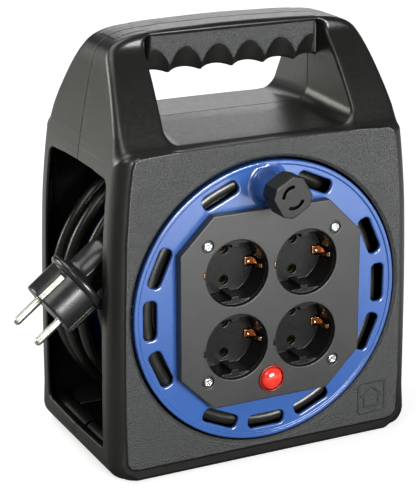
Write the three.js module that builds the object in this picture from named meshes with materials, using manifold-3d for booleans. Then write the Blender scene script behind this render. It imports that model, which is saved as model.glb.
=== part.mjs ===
// Portable extension cord reel: two-part moulded case with an integral carrying handle, a crankable
// drum with four earthed sockets and a thermal cut-out, wound cable and the supply plug parked in
// the cable opening. Millimetres, +Z up. Origin: centre of the base on the ground. The front
// (socket side) faces -Y, X runs to the right seen from the front, the drum turns about Y.
//
// Unless noted, parts are laid out in drum coordinates: x, depth y behind the front panel plane,
// height z above the drum axis. Spans are [from, to] and places are [x, z].
import * as THREE from 'three';
import Module from 'manifold-3d';

const wasm = await Module();
wasm.setup();
const { Manifold, Mesh: ManifoldMesh } = wasm;

// ---------------------------------------------------------------- driving dimensions
const AXIS_Z = 98.5; // drum axis above the ground
const HALF_DEPTH = 59.3; // parting plane to either face
const DEPTH = 2 * HALF_DEPTH;
const FRONT_Y = -HALF_DEPTH; // plane of the front panel
const SEAM_GAP = 0.15; // half of the joint line between the shells
const WALL = 2.6; // case wall
const OPENING_R = 86.9; // round opening for the drum
const FLANGE_R = 85.3; // front flange outer radius
const CORE_R = 59.0; // barrel
const CORE_BORE_R = CORE_R - 2.4;
const AXLE_R = 13.0;
const HUB_BORE_R = 13.35;
const PLATE_Y = -5.0; // socket plate front
const SOCKET_PITCH = 45.3;
const RECESS_FLOOR_Y = PLATE_Y + 17.5;
const PIN_PITCH = 19.0;
const PLATE_SCREW = 41.3; // plate screws, sideways and up or down from the axis
const BUTTON = [0, -46.0]; // reset button place
const KNOB = [0, 71.0]; // crank knob place

// ---------------------------------------------------------------- materials
const plastic = (color, roughness) => (
  new THREE.MeshStandardMaterial({ color, roughness, metalness: 0 })
);
const metal = (color, roughness) => (
  new THREE.MeshStandardMaterial({ color, roughness, metalness: 1 })
);
const MATERIALS = {
  case: plastic(0x3d3f3d, 0.55),
  blue: plastic(0x2f62b8, 0.18),
  core: plastic(0x24262a, 0.5),
  plate: plastic(0x484a48, 0.45),
  knob: plastic(0x333532, 0.4),
  red: plastic(0xd8453a, 0.2),
  darkRed: plastic(0x7c1d1a, 0.35),
  rubber: plastic(0x151515, 0.5),
  plug: plastic(0x1b1c1c, 0.3),
  steel: metal(0xc9cdcb, 0.28),
  copper: metal(0xb5794f, 0.3),
  brass: metal(0xc2a25a, 0.32),
};

// ---------------------------------------------------------------- coordinates and outlines
const worldY = (depth) => depth + FRONT_Y;
const worldZ = (height) => height + AXIS_Z;
const radians = (degrees) => (degrees * Math.PI) / 180;
const around = (centre, half) => [centre - half, centre + half];
const fromRear = ([y0, y1]) => [DEPTH - y1, DEPTH - y0]; // span mirrored in the parting plane
const mirrored = (points) => points.map(([x, z]) => [-x, z]).reverse();
const moved = (points, [dx, dz]) => points.map(([x, z]) => [x + dx, z + dz]);
const ringAt = (outline, depth) => outline.map(([x, z]) => [x, worldY(depth), worldZ(z)]);

function rotated([x, z], angle) {
  const c = Math.cos(angle);
  const s = Math.sin(angle);
  return [x * c - z * s, x * s + z * c];
}

function arcPoints(radius, from, to, steps) {
  return Array.from({ length: steps + 1 }, (_, i) => {
    const angle = from + ((to - from) * i) / steps;
    return [radius * Math.cos(angle), radius * Math.sin(angle)];
  });
}

function roundedRect(halfWidth, bottom, top, bottomR, steps, topR = bottomR) {
  const corners = [
    [halfWidth - topR, top - topR, topR],
    [-halfWidth + topR, top - topR, topR],
    [-halfWidth + bottomR, bottom + bottomR, bottomR],
    [halfWidth - bottomR, bottom + bottomR, bottomR],
  ];
  return corners.flatMap(([x, z, radius], quarter) => {
    const start = 90 * quarter;
    return moved(arcPoints(radius, radians(start), radians(start + 90), steps), [x, z]);
  });
}

// square with cut corners; leg is the length cut from each side
function octagon(half, leg) {
  const inner = half - leg;
  return [
    [half, -inner], [half, inner], [inner, half], [-inner, half],
    [-half, inner], [-half, -inner], [-inner, -half], [inner, -half],
  ];
}

// ---------------------------------------------------------------- solids
// welds coincident vertices and drops collapsed triangles, so that the surface closes
function toSolid(geometry) {
  const flat = geometry.index ? geometry.toNonIndexed() : geometry;
  const position = flat.getAttribute('position').array;
  const ids = new Map();
  const vertices = [];
  const corners = [];
  for (let i = 0; i < position.length; i += 3) {
    const point = position.slice(i, i + 3);
    const key = Array.from(point, (value) => Math.round(value * 1e5)).join();
    if (!ids.has(key)) {
      ids.set(key, vertices.length / 3);
      vertices.push(...point);
    }
    corners.push(ids.get(key));
  }
  const triangles = [];
  for (let i = 0; i < corners.length; i += 3) {
    const [a, b, c] = corners.slice(i, i + 3);
    if (a !== b && b !== c && a !== c) triangles.push(a, b, c);
  }
  return new Manifold(new ManifoldMesh({
    numProp: 3,
    vertProperties: new Float32Array(vertices),
    triVerts: new Uint32Array(triangles),
  }));
}

function toGeometry(solid) {
  const mesh = solid.getMesh();
  const geometry = new THREE.BufferGeometry();
  geometry.setAttribute('position', new THREE.BufferAttribute(mesh.vertProperties.slice(), 3));
  geometry.setIndex(Array.from(mesh.triVerts));
  geometry.computeVertexNormals();
  return geometry;
}

const join = (first, ...rest) => rest.reduce((sum, solid) => sum.add(solid), first);
const cut = (first, ...rest) => rest.reduce((left, solid) => left.subtract(solid), first);

// closed surface through world-space rings that all have the same number of points
function skin(rings) {
  const count = rings[0].length;
  const triangles = [];
  for (let i = 0; i + 1 < rings.length; i++) {
    for (let j = 0; j < count; j++) {
      const k = (j + 1) % count;
      triangles.push([rings[i][j], rings[i][k], rings[i + 1][k]]);
      triangles.push([rings[i][j], rings[i + 1][k], rings[i + 1][j]]);
    }
  }
  const cap = (ring, flip) => {
    const centre = [0, 1, 2].map((axis) => ring.reduce((sum, p) => sum + p[axis], 0) / count);
    for (let j = 0; j < count; j++) {
      const next = ring[(j + 1) % count];
      triangles.push(flip ? [centre, next, ring[j]] : [centre, ring[j], next]);
    }
  };
  cap(rings[0], true);
  cap(rings[rings.length - 1], false);
  const build = (list) => {
    const geometry = new THREE.BufferGeometry();
    const position = new Float32Array(list.flat(2));
    geometry.setAttribute('position', new THREE.BufferAttribute(position, 3));
    return toSolid(geometry);
  };
  const solid = build(triangles);
  // rings given in the other direction turn the surface inside out
  return solid.volume() < 0 ? build(triangles.map(([a, b, c]) => [c, b, a])) : solid;
}

function extrude(outline, depth) {
  const shape = new THREE.Shape(outline.map(([x, y]) => new THREE.Vector2(x, y)));
  return new THREE.ExtrudeGeometry(shape, { depth, bevelEnabled: false, steps: 1 });
}

// [x, z] outline extruded along the depth
function extrudeY(outline, [y0, y1]) {
  const geometry = extrude(outline, y1 - y0);
  geometry.rotateX(Math.PI / 2);
  geometry.translate(0, worldY(y1), AXIS_Z);
  return toSolid(geometry);
}

// [depth, z] outline extruded along X
function extrudeX(outline, [x0, x1]) {
  const geometry = extrude(outline, x1 - x0);
  geometry.applyMatrix4(new THREE.Matrix4().makeBasis(
    new THREE.Vector3(0, 1, 0),
    new THREE.Vector3(0, 0, 1),
    new THREE.Vector3(1, 0, 0),
  ));
  geometry.translate(x0, FRONT_Y, AXIS_Z);
  return toSolid(geometry);
}

// box by its size and centre in world coordinates
function worldBox(size, centre) {
  return toSolid(new THREE.BoxGeometry(...size).translate(...centre));
}

function box([x0, x1], [y0, y1], [z0, z1]) {
  return worldBox(
    [x1 - x0, y1 - y0, z1 - z0],
    [(x0 + x1) / 2, worldY((y0 + y1) / 2), worldZ((z0 + z1) / 2)],
  );
}

// cylinder along Y; rearRadius makes it taper
function cylinder([x, z], [y0, y1], radius, sides, rearRadius = radius) {
  const geometry = new THREE.CylinderGeometry(rearRadius, radius, y1 - y0, sides);
  geometry.translate(x, worldY((y0 + y1) / 2), worldZ(z));
  return toSolid(geometry);
}

// turned about Y; the profile holds [radius, depth] and is closed unless both ends are on the axis
function lathe(profile, sides, [x, z] = [0, 0]) {
  const points = profile.map(([radius, y]) => new THREE.Vector2(radius, y));
  const onAxis = points[0].x < 1e-9 && points[points.length - 1].x < 1e-9;
  if (!onAxis) points.push(points[0].clone());
  const build = (list) => {
    const geometry = new THREE.LatheGeometry(list, sides);
    geometry.translate(x, FRONT_Y, worldZ(z));
    return toSolid(geometry);
  };
  const solid = build(points);
  return solid.volume() < 0 ? build(points.slice().reverse()) : solid;
}

// cross-shaped screwdriver slot
function crossSlot([x, z], depthSpan, halfLength, halfWidth) {
  return join(
    box(around(x, halfLength), depthSpan, around(z, halfWidth)),
    box(around(x, halfWidth), depthSpan, around(z, halfLength)),
  );
}

// ---------------------------------------------------------------- case form
// [height, half width, half depth, vertical corner radius]
const CASE_LEVELS = [
  [-98.5, 88.0, 47.0, 8.0], [-97.4, 93.4, 52.4, 9.5], [-94.6, 96.9, 55.9, 10.5],
  [-89.5, 99.2, 57.9, 11.0], [-82.0, 99.7, 58.5, 11.0], [-40.0, 99.4, 58.9, 11.0],
  [0.0, 98.8, 59.0, 11.0], [48.0, 97.0, 59.0, 11.0], [75.0, 94.6, 59.0, 11.0],
  [93.0, 92.0, 58.8, 11.0], [96.6, 91.4, 57.0, 10.6], [98.6, 91.1, 54.0, 10.0],
  [106.0, 90.0, 49.2, 8.5], [115.0, 88.3, 43.8, 7.2], [125.0, 86.4, 37.2, 6.2],
  [134.4, 84.3, 30.3, 5.4], [143.0, 82.2, 22.6, 4.8], [147.5, 80.0, 18.8, 4.4],
  [151.0, 77.2, 18.3, 4.2], [153.8, 73.2, 18.0, 4.0], [155.8, 68.2, 17.4, 4.0],
  [157.2, 59.0, 16.2, 4.0], [158.2, 42.0, 14.8, 3.6], [158.9, 16.0, 13.2, 3.0],
];
const MIN_CORNER_R = 1.2;
const MIN_LEVEL_STEP = 0.25;
const UPPER_INSET_FACTOR = 1.15; // levels at and above the axis drop by this times the inset

function caseForm(inset) {
  const rings = CASE_LEVELS.map(([z, width, depth, radius]) => {
    const cornerR = Math.max(radius - inset, MIN_CORNER_R);
    const halfDepth = depth - inset;
    const height = z < 0 ? Math.max(z, -AXIS_Z + inset) : z - inset * UPPER_INSET_FACTOR;
    return roundedRect(width - inset, -halfDepth, halfDepth, cornerR, 3)
      .map(([x, y]) => [x, y, worldZ(height)]);
  });
  // rings that coincide in height after the inset are dropped
  const kept = [rings[0]];
  for (const ring of rings.slice(1)) {
    if (ring[0][2] - kept[kept.length - 1][0][2] > MIN_LEVEL_STEP) kept.push(ring);
  }
  return skin(kept);
}

// ---------------------------------------------------------------- handle
// [depth, half width, bottom]; wider away from the parting plane (mould draft)
const TUNNEL_STATIONS = [
  [-6, 61.6, 97.9], [6, 60.6, 98.6], [HALF_DEPTH, 57.2, 103.0],
  [DEPTH - 6, 60.6, 98.6], [DEPTH + 6, 61.6, 97.9],
];
const TUNNEL_TOP = 131.6;
const TUNNEL_BOTTOM_R = 9;
const TUNNEL_TOP_R = 5;
const WINDOW_SPAN = [-6, 44]; // front frame window
const WINDOW_WALL = 2.2;
const GRIP_SPAN = [42.4, DEPTH - 42.4];
const GROOVE_PITCH = 20.5;
const GROOVE_X = [-2.5, -1.5, -0.5, 0.5, 1.5, 2.5].map((step) => step * GROOVE_PITCH);
const GROOVE_R = 14.6;
// the bottom line of a front groove passes through these [depth, height] points
const GROOVE_UPPER = [44, 147];
const GROOVE_LOWER = [50, 132.8];
const WAVE_R = 25.4; // hollows under the grip
const WAVE_TOP = 133.0;

function handleTunnel(grow) {
  return skin(TUNNEL_STATIONS.map(([depth, halfWidth, bottom]) => ringAt(
    roundedRect(
      halfWidth + grow, bottom - grow, TUNNEL_TOP + grow, TUNNEL_BOTTOM_R, 3, TUNNEL_TOP_R,
    ),
    depth,
  )));
}

// frame windows in front of and behind the grip
function gripWindows(grow = 0) {
  const leftHalf = [[-60.2 - grow, 110], [-57.0 - grow, 154.4], [-53 - grow, 154.9], [-25, 155.6]];
  const outline = [...leftHalf, [0, 155.8], ...mirrored(leftHalf)];
  return [WINDOW_SPAN, fromRear(WINDOW_SPAN)].map((span) => extrudeY(outline, span));
}

function fingerGroove(x, front) {
  const tilt = Math.atan2(GROOVE_LOWER[0] - GROOVE_UPPER[0], GROOVE_UPPER[1] - GROOVE_LOWER[1]);
  const midDepth = (GROOVE_UPPER[0] + GROOVE_LOWER[0]) / 2;
  const midHeight = (GROOVE_UPPER[1] + GROOVE_LOWER[1]) / 2;
  const offset = GROOVE_R * Math.cos(tilt);
  const geometry = new THREE.CylinderGeometry(GROOVE_R, GROOVE_R, 60, 16);
  geometry.rotateX(front ? -tilt : tilt);
  geometry.translate(
    x,
    front ? worldY(midDepth) - offset : worldY(DEPTH - midDepth) + offset,
    worldZ(midHeight) - GROOVE_R * Math.sin(tilt),
  );
  const frontSpan = [20, 52.6];
  const limit = box(around(x, 16), front ? frontSpan : fromRear(frontSpan), [128, 148]);
  return toSolid(geometry).intersect(limit);
}

// hollow case with the handle opening, frame windows and shaped grip
function caseWithHandle(outer, tunnel) {
  const windowWalls = join(...gripWindows(WINDOW_WALL))
    .intersect(outer)
    .intersect(box([-80, 80], [0, DEPTH], [120, 158]));
  const gripBar = box([-72, 72], GRIP_SPAN, [128.9, 157]).intersect(outer);
  const body = join(
    cut(outer, caseForm(WALL)),
    handleTunnel(WALL).intersect(outer),
    windowWalls,
    gripBar,
  );
  return cut(
    body,
    tunnel,
    ...gripWindows(),
    ...GROOVE_X.flatMap((x) => [fingerGroove(x, true), fingerGroove(x, false)]),
    ...GROOVE_X.map((x) => cylinder([x, WAVE_TOP - WAVE_R], [43, DEPTH - 43], WAVE_R, 40)),
  );
}

// ---------------------------------------------------------------- case details
// right half of the raised panel on the front and rear, [x, z] from the bottom up
const PANEL_RIGHT = [
  [84.2, -91.0], [91.4, -86], [91.6, -40], [90.9, 0], [89.2, 48],
  [86.6, 78], [84.0, 93.4], [82.8, 95.6], [60, 97.2], [30, 98.1],
];
const PANEL_SPAN = [0, 3.0];
// cable opening in the left side wall, [depth, z]
const SIDE_OPENING = [
  [102.5, -76.6], [103.0, 60], [102.4, 76.6], [100.6, 80.2], [97, 81.6], [59.3, 82.6],
  [21.6, 81.6], [18, 80.2], [16.2, 76.6], [15.6, 60], [16.1, -76.6], [59.3, -80.8],
];
const COLLAR_R = OPENING_R + 2.2;
// screw bosses, [x, z, inset from the face], on both sides of the case
const BOSSES = [[88.2, -86.5, 2.6], [81.5, 85.5, 2.6], [72.0, 124.0, 24]]
  .flatMap(([x, z, inset]) => [[x, z, inset], [-x, z, inset]]);
const COUNTERBORE_Y = 72;
const MARK = [72.4, -73.6]; // centre of the indoor-use mark

function addPanels(body, tunnel) {
  const outline = [...PANEL_RIGHT, [0, 98.5], ...mirrored(PANEL_RIGHT)];
  const panels = [PANEL_SPAN, fromRear(PANEL_SPAN)].map((span) => extrudeY(outline, span));
  return join(body, ...panels.map((panel) => cut(panel, tunnel)));
}

// drum opening with its guide collar and chamfer, side opening and round recess on the rear
function cutOpenings(body) {
  const collar = lathe([[OPENING_R, 1.5], [COLLAR_R, 1.5], [COLLAR_R, 13.5], [OPENING_R, 13.5]], 56);
  const chamfer = lathe([[0, -0.5], [COLLAR_R, -0.5], [OPENING_R, 1.7], [0, 1.7]], 56);
  return cut(
    join(body, collar),
    cylinder([0, 0], [-6, 14.0], OPENING_R, 56),
    chamfer,
    extrudeX(SIDE_OPENING, [-112, -88]),
    lathe([[0, 117.5], [70, 117.5], [71.2, 119.2], [0, 119.2]], 36),
  );
}

// front posts are blind, rear posts are counterbored
function addBosses(body, outer) {
  const posts = BOSSES.flatMap(([x, z, inset]) => [
    cylinder([x, z], [inset, HALF_DEPTH], 4.6, 10).intersect(outer),
    cylinder([x, z], [HALF_DEPTH, DEPTH - inset + 0.6], 5.8, 12).intersect(outer),
  ]);
  const bores = BOSSES.flatMap(([x, z]) => [
    cylinder([x, z], [40, COUNTERBORE_Y], 2.0, 8),
    cylinder([x, z], [COUNTERBORE_Y, 125], 4.3, 12),
  ]);
  return cut(join(body, ...posts), ...bores);
}

// rounded frame with a plain house outline, raised on the front panel
function indoorMark() {
  const frame = roundedRect(9.6, -10.2, 10.2, 2.4, 3);
  const frameHole = roundedRect(8.7, -9.3, 9.3, 1.6, 3);
  const house = [[-5.2, -6], [5.2, -6], [5.2, 1], [7, 1], [0, 7], [-7, 1], [-5.2, 1]];
  const houseHole = [[-4.2, -5], [4.2, -5], [4.2, 1.9], [0, 5.5], [-4.2, 1.9]];
  const raised = (outline, hole) => cut(
    extrudeY(moved(outline, MARK), [-0.35, 1]),
    extrudeY(moved(hole, MARK), [-1, 2]),
  );
  return join(raised(frame, frameHole), raised(house, houseHole));
}

function undividedCase() {
  const outer = caseForm(0);
  const tunnel = handleTunnel(0);
  const body = cutOpenings(addPanels(caseWithHandle(outer, tunnel), tunnel));
  return join(addBosses(body, outer), indoorMark());
}

// a locating tongue of the rear shell crosses the parting plane at the middle of the base
function splitCase(body) {
  const size = 400;
  const halfSpace = (side) => (
    worldBox([size, size, size * 2], [0, side * (size / 2 + SEAM_GAP), 0])
  );
  const tongue = worldBox([20, 6.4, 10], [0, -2.8, 1]);
  const tongueSlot = worldBox([20.6, 6.9, 12], [0, -2.85, 1]);
  return {
    front: body.intersect(cut(halfSpace(-1), tongueSlot)),
    rear: body.intersect(join(halfSpace(1), tongue)),
  };
}

// hollow stub axle for the drum, standing on the rear wall
function stubAxle() {
  const tube = lathe([
    [9.8, 34.0], [AXLE_R, 34.0], [AXLE_R, 104], [16.5, 116.8], [13.3, 116.8], [9.8, 104],
  ], 28);
  const endR = AXLE_R - 0.5;
  const end = lathe([[0, 34.0], [endR, 34.0], [endR, 38.0], [0, 38.0]], 28);
  return cut(join(tube, end), cylinder([0, 0], [33, 39], 1.9, 10));
}

// driven from the rear
function caseScrew(place) {
  const screw = lathe([
    [0, 44], [1.0, 44], [1.8, 46], [1.8, 72.15], [3.7, 72.15], [3.7, 74.0], [2.6, 74.9], [0, 74.9],
  ], 10, place);
  return cut(screw, crossSlot(place, [74.0, 75.5], 2.0, 0.45));
}

// ---------------------------------------------------------------- drum
const SLOT_ANGLES = [0, 24, 66, 114, 156, 180, 204, 246, 270, 294, 336]; // degrees
const SLOT_CENTRE_R = 74.9;
const SLOT_LENGTH = 24.0;
const SLOT_WIDTH = 8.6;
const SLOT_CORNER_R = 3.4;
const PLATE_SCREWS = [[1, 1], [-1, 1], [-1, -1], [1, -1]]
  .map(([x, z]) => [x * PLATE_SCREW, z * PLATE_SCREW]);
const REAR_SCREWS = [90, 210, 330].map((angle) => rotated([38, 0], radians(angle)));
const REAR_HOLES = [30, 150, 270].map((angle) => rotated([46, 0], radians(angle)));

const cylindersAt = (places, span, radius, sides) => (
  places.map((place) => cylinder(place, span, radius, sides))
);

function flangeSlot(angle) {
  const halfLength = SLOT_LENGTH / 2;
  const outline = roundedRect(SLOT_WIDTH / 2, -halfLength, halfLength, SLOT_CORNER_R, 2);
  const placed = moved(outline, [SLOT_CENTRE_R, 0]).map((p) => rotated(p, radians(angle)));
  return extrudeY(placed, [-3, 8]);
}

// dished ring with a thin raised lip, skirt, slots and the crank boss
function frontFlange() {
  const ring = lathe([
    [55.0, 0.9], [82.4, 0.9], [82.9, 0.0], [84.9, 0.0], [FLANGE_R, 0.4],
    [FLANGE_R, 6.0], [83.4, 6.0], [83.4, 3.6], [55.0, 3.6],
  ], 52);
  const crankBoss = lathe([
    [0, 0.9], [12.0, 0.9], [10.9, -0.6], [10.0, -3.0], [9.4, -7], [9.0, -14.4], [0, -14.4],
  ], 20, KNOB);
  return cut(
    join(ring, crankBoss),
    ...SLOT_ANGLES.map(flangeSlot),
    ...cylindersAt(PLATE_SCREWS, [-2, 8], 2.0, 8),
    cylinder(KNOB, [-20, -2.2], 4.8, 16),
  );
}

// barrel with rear web and hub tube
function drumCore() {
  const barrel = lathe([
    [CORE_BORE_R, 3.9], [CORE_R, 3.9], [CORE_R, 104.0], [HUB_BORE_R, 104.0],
    [HUB_BORE_R, 34.6], [16.6, 34.6], [16.6, 101.4], [CORE_BORE_R, 101.4],
  ], 40);
  const seatR = CORE_R + 5.0;
  const seat = lathe([[CORE_BORE_R, 3.9], [seatR, 3.9], [seatR, 6.0], [CORE_BORE_R, 6.0]], 40);
  const withFrontPosts = cut(
    join(barrel, seat, ...cylindersAt(PLATE_SCREWS, [3.9, 26], 3.9, 10)),
    ...cylindersAt(PLATE_SCREWS, [2, 22], 1.6, 8),
  );
  const cableEntry = box([30, 52], [44, 54], [-49, -38]);
  return cut(
    join(withFrontPosts, ...cylindersAt(REAR_SCREWS, [88, 102], 3.8, 10)),
    ...cylindersAt(REAR_SCREWS, [91, 105], 1.6, 8),
    cableEntry,
  );
}

function rearFlange() {
  const ring = lathe([
    [18.0, 104.3], [80.0, 104.3], [80.0, 101.0], [82.0, 101.0], [82.0, 107.2], [18.0, 107.2],
  ], 40);
  return cut(
    ring,
    ...cylindersAt(REAR_SCREWS, [100, 110], 1.95, 8),
    ...cylindersAt(REAR_HOLES, [100, 110], 9, 14),
  );
}

function rearFlangeScrew(place) {
  return lathe([
    [0, 92], [0.9, 92], [1.4, 93], [1.4, 107.35], [3.4, 107.35], [3.2, 108.9], [0, 109.4],
  ], 10, place);
}

// ---------------------------------------------------------------- socket plate
const PLATE_HALF = 58.7; // across flats / 2
const PLATE_CORNER_LEG = 21.2;
const CORNER_LEG_PER_INSET = 0.586; // keeps the plate wall even round the cut corners
const RECESS_R = 20.2; // socket mouth
const HALF_SOCKET = SOCKET_PITCH / 2;
const HALF_PIN = PIN_PITCH / 2;
const SOCKETS = {
  tl: [-HALF_SOCKET, HALF_SOCKET],
  tr: [HALF_SOCKET, HALF_SOCKET],
  bl: [-HALF_SOCKET, -HALF_SOCKET],
  br: [HALF_SOCKET, -HALF_SOCKET],
};

const plateOutline = (inset) => (
  octagon(PLATE_HALF - inset, PLATE_CORNER_LEG - inset * CORNER_LEG_PER_INSET)
);

// hollow plate with a bevelled front edge
function plateShell() {
  const bevel = 0.7;
  return cut(
    extrudeY(plateOutline(0), [PLATE_Y, 0.6]),
    extrudeY(plateOutline(2.4), [PLATE_Y + 2.8, 2]),
  ).intersect(skin([
    ringAt(plateOutline(bevel), PLATE_Y),
    ringAt(plateOutline(0), PLATE_Y + bevel),
    ringAt(plateOutline(0), 4),
  ]));
}

// circle with flats and guide ribs above and below
function recessOutline(radius, flat, rib) {
  const flatAngle = Math.asin(flat / radius);
  const flatEnd = radius * Math.cos(flatAngle);
  const top = [
    [flatEnd, flat], [2.8, flat], [2.6, rib], [-2.6, rib], [-2.8, flat], [-flatEnd, flat],
  ];
  const leftArc = arcPoints(radius, Math.PI - flatAngle, Math.PI + flatAngle, 6).slice(1, -1);
  const half = [...top, ...leftArc];
  return [...half, ...half.map(([x, z]) => [-x, -z])];
}

// everything removed from the plate for one socket
function socketCuts([x, z]) {
  const mouth = lathe([
    [0, PLATE_Y - 1], [RECESS_R + 0.5, PLATE_Y - 1], [RECESS_R + 0.5, PLATE_Y],
    [RECESS_R - 0.2, PLATE_Y + 0.7], [RECESS_R - 0.4, PLATE_Y + 2.2], [0, PLATE_Y + 2.2],
  ], 28, [x, z]);
  const recess = skin([
    ringAt(moved(recessOutline(19.4, 16.9, 14.6), [x, z]), PLATE_Y + 1.5),
    ringAt(moved(recessOutline(18.4, 16.4, 14.2), [x, z]), RECESS_FLOOR_Y),
  ]);
  const rearY = RECESS_FLOOR_Y + 4;
  const holes = [-1, 1].flatMap((side) => [
    cylinder([x, z + side * HALF_PIN], [RECESS_FLOOR_Y - 1, rearY], 2.6, 12),
    box(around(x + side * 17.25, 2.15), [-0.5, rearY], around(z, 3.3)), // earth contact window
  ]);
  return [mouth, recess, ...holes];
}

function socketPlate() {
  const places = Object.values(SOCKETS);
  const cups = places.map((place) => (
    cylinder(place, [PLATE_Y + 1, RECESS_FLOOR_Y + 2.4], 22.0, 24, 20.9)
  ));
  const limit = extrudeY(plateOutline(0.4), [PLATE_Y, 3]);
  const posts = cylindersAt(PLATE_SCREWS, [PLATE_Y + 1, 0.6], 4.2, 10)
    .map((post) => post.intersect(limit));
  return cut(
    join(plateShell(), ...cups, ...posts),
    ...places.flatMap(socketCuts),
    ...cylindersAt(PLATE_SCREWS, [PLATE_Y - 1, PLATE_Y + 1.3], 3.7, 14),
    ...cylindersAt(PLATE_SCREWS, [PLATE_Y - 1, 3], 1.75, 8),
    cylinder(BUTTON, [PLATE_Y - 1, 3], 7.8, 20),
  );
}

function plateScrew(place) {
  const screw = lathe([
    [0, PLATE_Y - 0.5], [1.6, PLATE_Y - 0.4], [2.7, PLATE_Y + 0.1], [3.0, PLATE_Y + 0.7],
    [3.0, PLATE_Y + 1.2], [1.4, PLATE_Y + 1.2], [1.4, 19], [0, 19],
  ], 12, place);
  return cut(screw, crossSlot(place, [PLATE_Y - 1, PLATE_Y + 0.4], 1.7, 0.35));
}

// ---------------------------------------------------------------- contacts and cut-out
// strap behind the recess floor with a sprung arm up either side
function earthContact([x, z]) {
  const thickness = 0.7;
  const width = 5.0;
  const strapY = RECESS_FLOOR_Y + 3.0;
  const left = [ // [x, depth]
    [-18.6, strapY + thickness], [-18.6, 8.5], [-17.4, 3.2], [-18.4, 1.0],
    [-18.4 + thickness, 0.6], [-16.6, 3.2], [-17.7, 8.6], [-17.9, strapY],
  ];
  const geometry = extrude([...left, ...mirrored(left)], width);
  geometry.translate(x, FRONT_Y, worldZ(z) - width / 2);
  return toSolid(geometry);
}

// bar joining one pin of every socket, with a sleeve behind each pin hole; side +1 takes the
// upper pins and -1 the lower ones
function busbar(side, barY) {
  const halfWidth = 2.5;
  const rows = [HALF_SOCKET + side * HALF_PIN, -HALF_SOCKET + side * HALF_PIN];
  const span = [barY, barY + 1];
  const spine = box(
    around(side * 4.2, halfWidth), span, [rows[1] - halfWidth, rows[0] + halfWidth],
  );
  const bars = rows.map((z) => box(around(0, HALF_SOCKET + halfWidth), span, around(z, halfWidth)));
  const pins = rows.flatMap((z) => [[-HALF_SOCKET, z], [HALF_SOCKET, z]]);
  return cut(
    join(spine, ...bars, ...cylindersAt(pins, [RECESS_FLOOR_Y + 2.9, barY + 1], 3.4, 10)),
    ...cylindersAt(pins, [RECESS_FLOOR_Y + 1, barY - 0.6], 2.5, 10),
  );
}

// insulating cover behind the contacts
function contactCover() {
  return cut(
    lathe([[0, 25.4], [50.0, 25.4], [50.0, 18.5], [51.8, 18.5], [51.8, 27.2], [0, 27.2]], 32),
    cylinder(BUTTON, [10, 30], 9.3, 16),
    ...cylindersAt(PLATE_SCREWS, [10, 30], 4.5, 10),
  );
}

// collared body, bored for the button, with two terminals at the rear
function thermalCutout() {
  const body = lathe([
    [0, 6.0], [6.4, 6.0], [6.4, -1.8], [7.5, -1.8], [7.5, 1.4], [8.6, 1.4], [8.6, 31], [0, 31],
  ], 18, BUTTON);
  const terminals = [[-4, -2.8], [2.8, 4]].map((span) => (
    box(span, [30, 36], around(BUTTON[1], 3))
  ));
  return join(cut(body, cylinder(BUTTON, [-6, 8.5], 5.7, 16)), ...terminals);
}

function buttonCollar() {
  return lathe([[7.3, -5.1], [8.5, -5.1], [8.5, -5.6], [8.0, -6.2], [7.3, -6.2]], 24, BUTTON);
}

function resetButton() {
  return lathe([
    [0, -9.0], [2.2, -8.85], [4.2, -8.4], [5.8, -7.6], [6.8, -6.5], [7.05, -5.4],
    [7.05, -4.6], [5.3, -4.6], [5.3, 2.5], [0, 2.5],
  ], 20, BUTTON);
}

// ---------------------------------------------------------------- axle end
function hubWasher() {
  return lathe([[2.3, 31.9], [16.0, 31.9], [16.0, 33.9], [2.3, 33.9]], 20);
}

function hubScrew() {
  return lathe([
    [0, 29.2], [3.6, 29.5], [4.2, 30.4], [4.2, 31.8], [1.75, 31.8], [1.75, 37.6], [0, 37.6],
  ], 12);
}

// ---------------------------------------------------------------- crank knob
const KNOB_HALF = 21.7 / 2; // across flats / 2
const KNOB_CORNER_LEG = 4.75;
const KNOB_TURN = radians(30);
const KNOB_FACE_Y = -29.0;
const KNOB_BACK_Y = -14.9;

function knobPin() {
  return lathe([[0, -27.0], [3.4, -27.0], [4.6, -26.0], [4.6, -2.6], [0, -2.6]], 16, KNOB);
}

// octagonal knob with a bevelled face, a blind bore and two curved grooves in the face
function crankKnob() {
  const bevel = 0.8;
  const ring = (inset, depth) => {
    const outline = octagon(KNOB_HALF - inset, KNOB_CORNER_LEG);
    return ringAt(moved(outline.map((p) => rotated(p, KNOB_TURN)), KNOB), depth);
  };
  const grooves = [92, 252].map((start) => {
    const from = radians(start);
    const to = radians(start + 82);
    const outline = [...arcPoints(7.0, from, to, 8), ...arcPoints(5.5, to, from, 8)];
    return extrudeY(moved(outline, KNOB), [KNOB_FACE_Y - 1, KNOB_FACE_Y + 7]);
  });
  return cut(
    skin([ring(bevel, KNOB_FACE_Y), ring(0, KNOB_FACE_Y + bevel), ring(0, KNOB_BACK_Y)]),
    cylinder(KNOB, [KNOB_FACE_Y + 1.7, KNOB_BACK_Y + 1], 5.0, 16),
    ...grooves,
  );
}

// ---------------------------------------------------------------- wound cable
// crest of each turn, [depth, radius]: low near the front flange, piled up over the rear half
const COIL_TURNS = [
  [11.4, 73.2], [19.4, 73.6], [27.4, 73.2], [35.4, 73.6], [43.4, 74.2], [51.8, 88.8],
  [60.2, 93.3], [68.6, 92.4], [77.0, 93.4], [85.4, 91.6], [93.4, 86.5],
];

function cableCoil() {
  const innerR = CORE_R + 0.9;
  const steppedR = CORE_R + 4.4; // clears the seat of the front flange
  return lathe([
    [innerR, 28.4], [steppedR, 27.6], [steppedR, 7.2], [CORE_R + 10, 7.2],
    ...COIL_TURNS.flatMap(([y, r]) => [[r - 2.1, y - 3.7], [r, y], [r - 2.1, y + 3.7]]),
    [CORE_R + 18, 99.6], [innerR, 99.6],
  ], 30);
}

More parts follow.
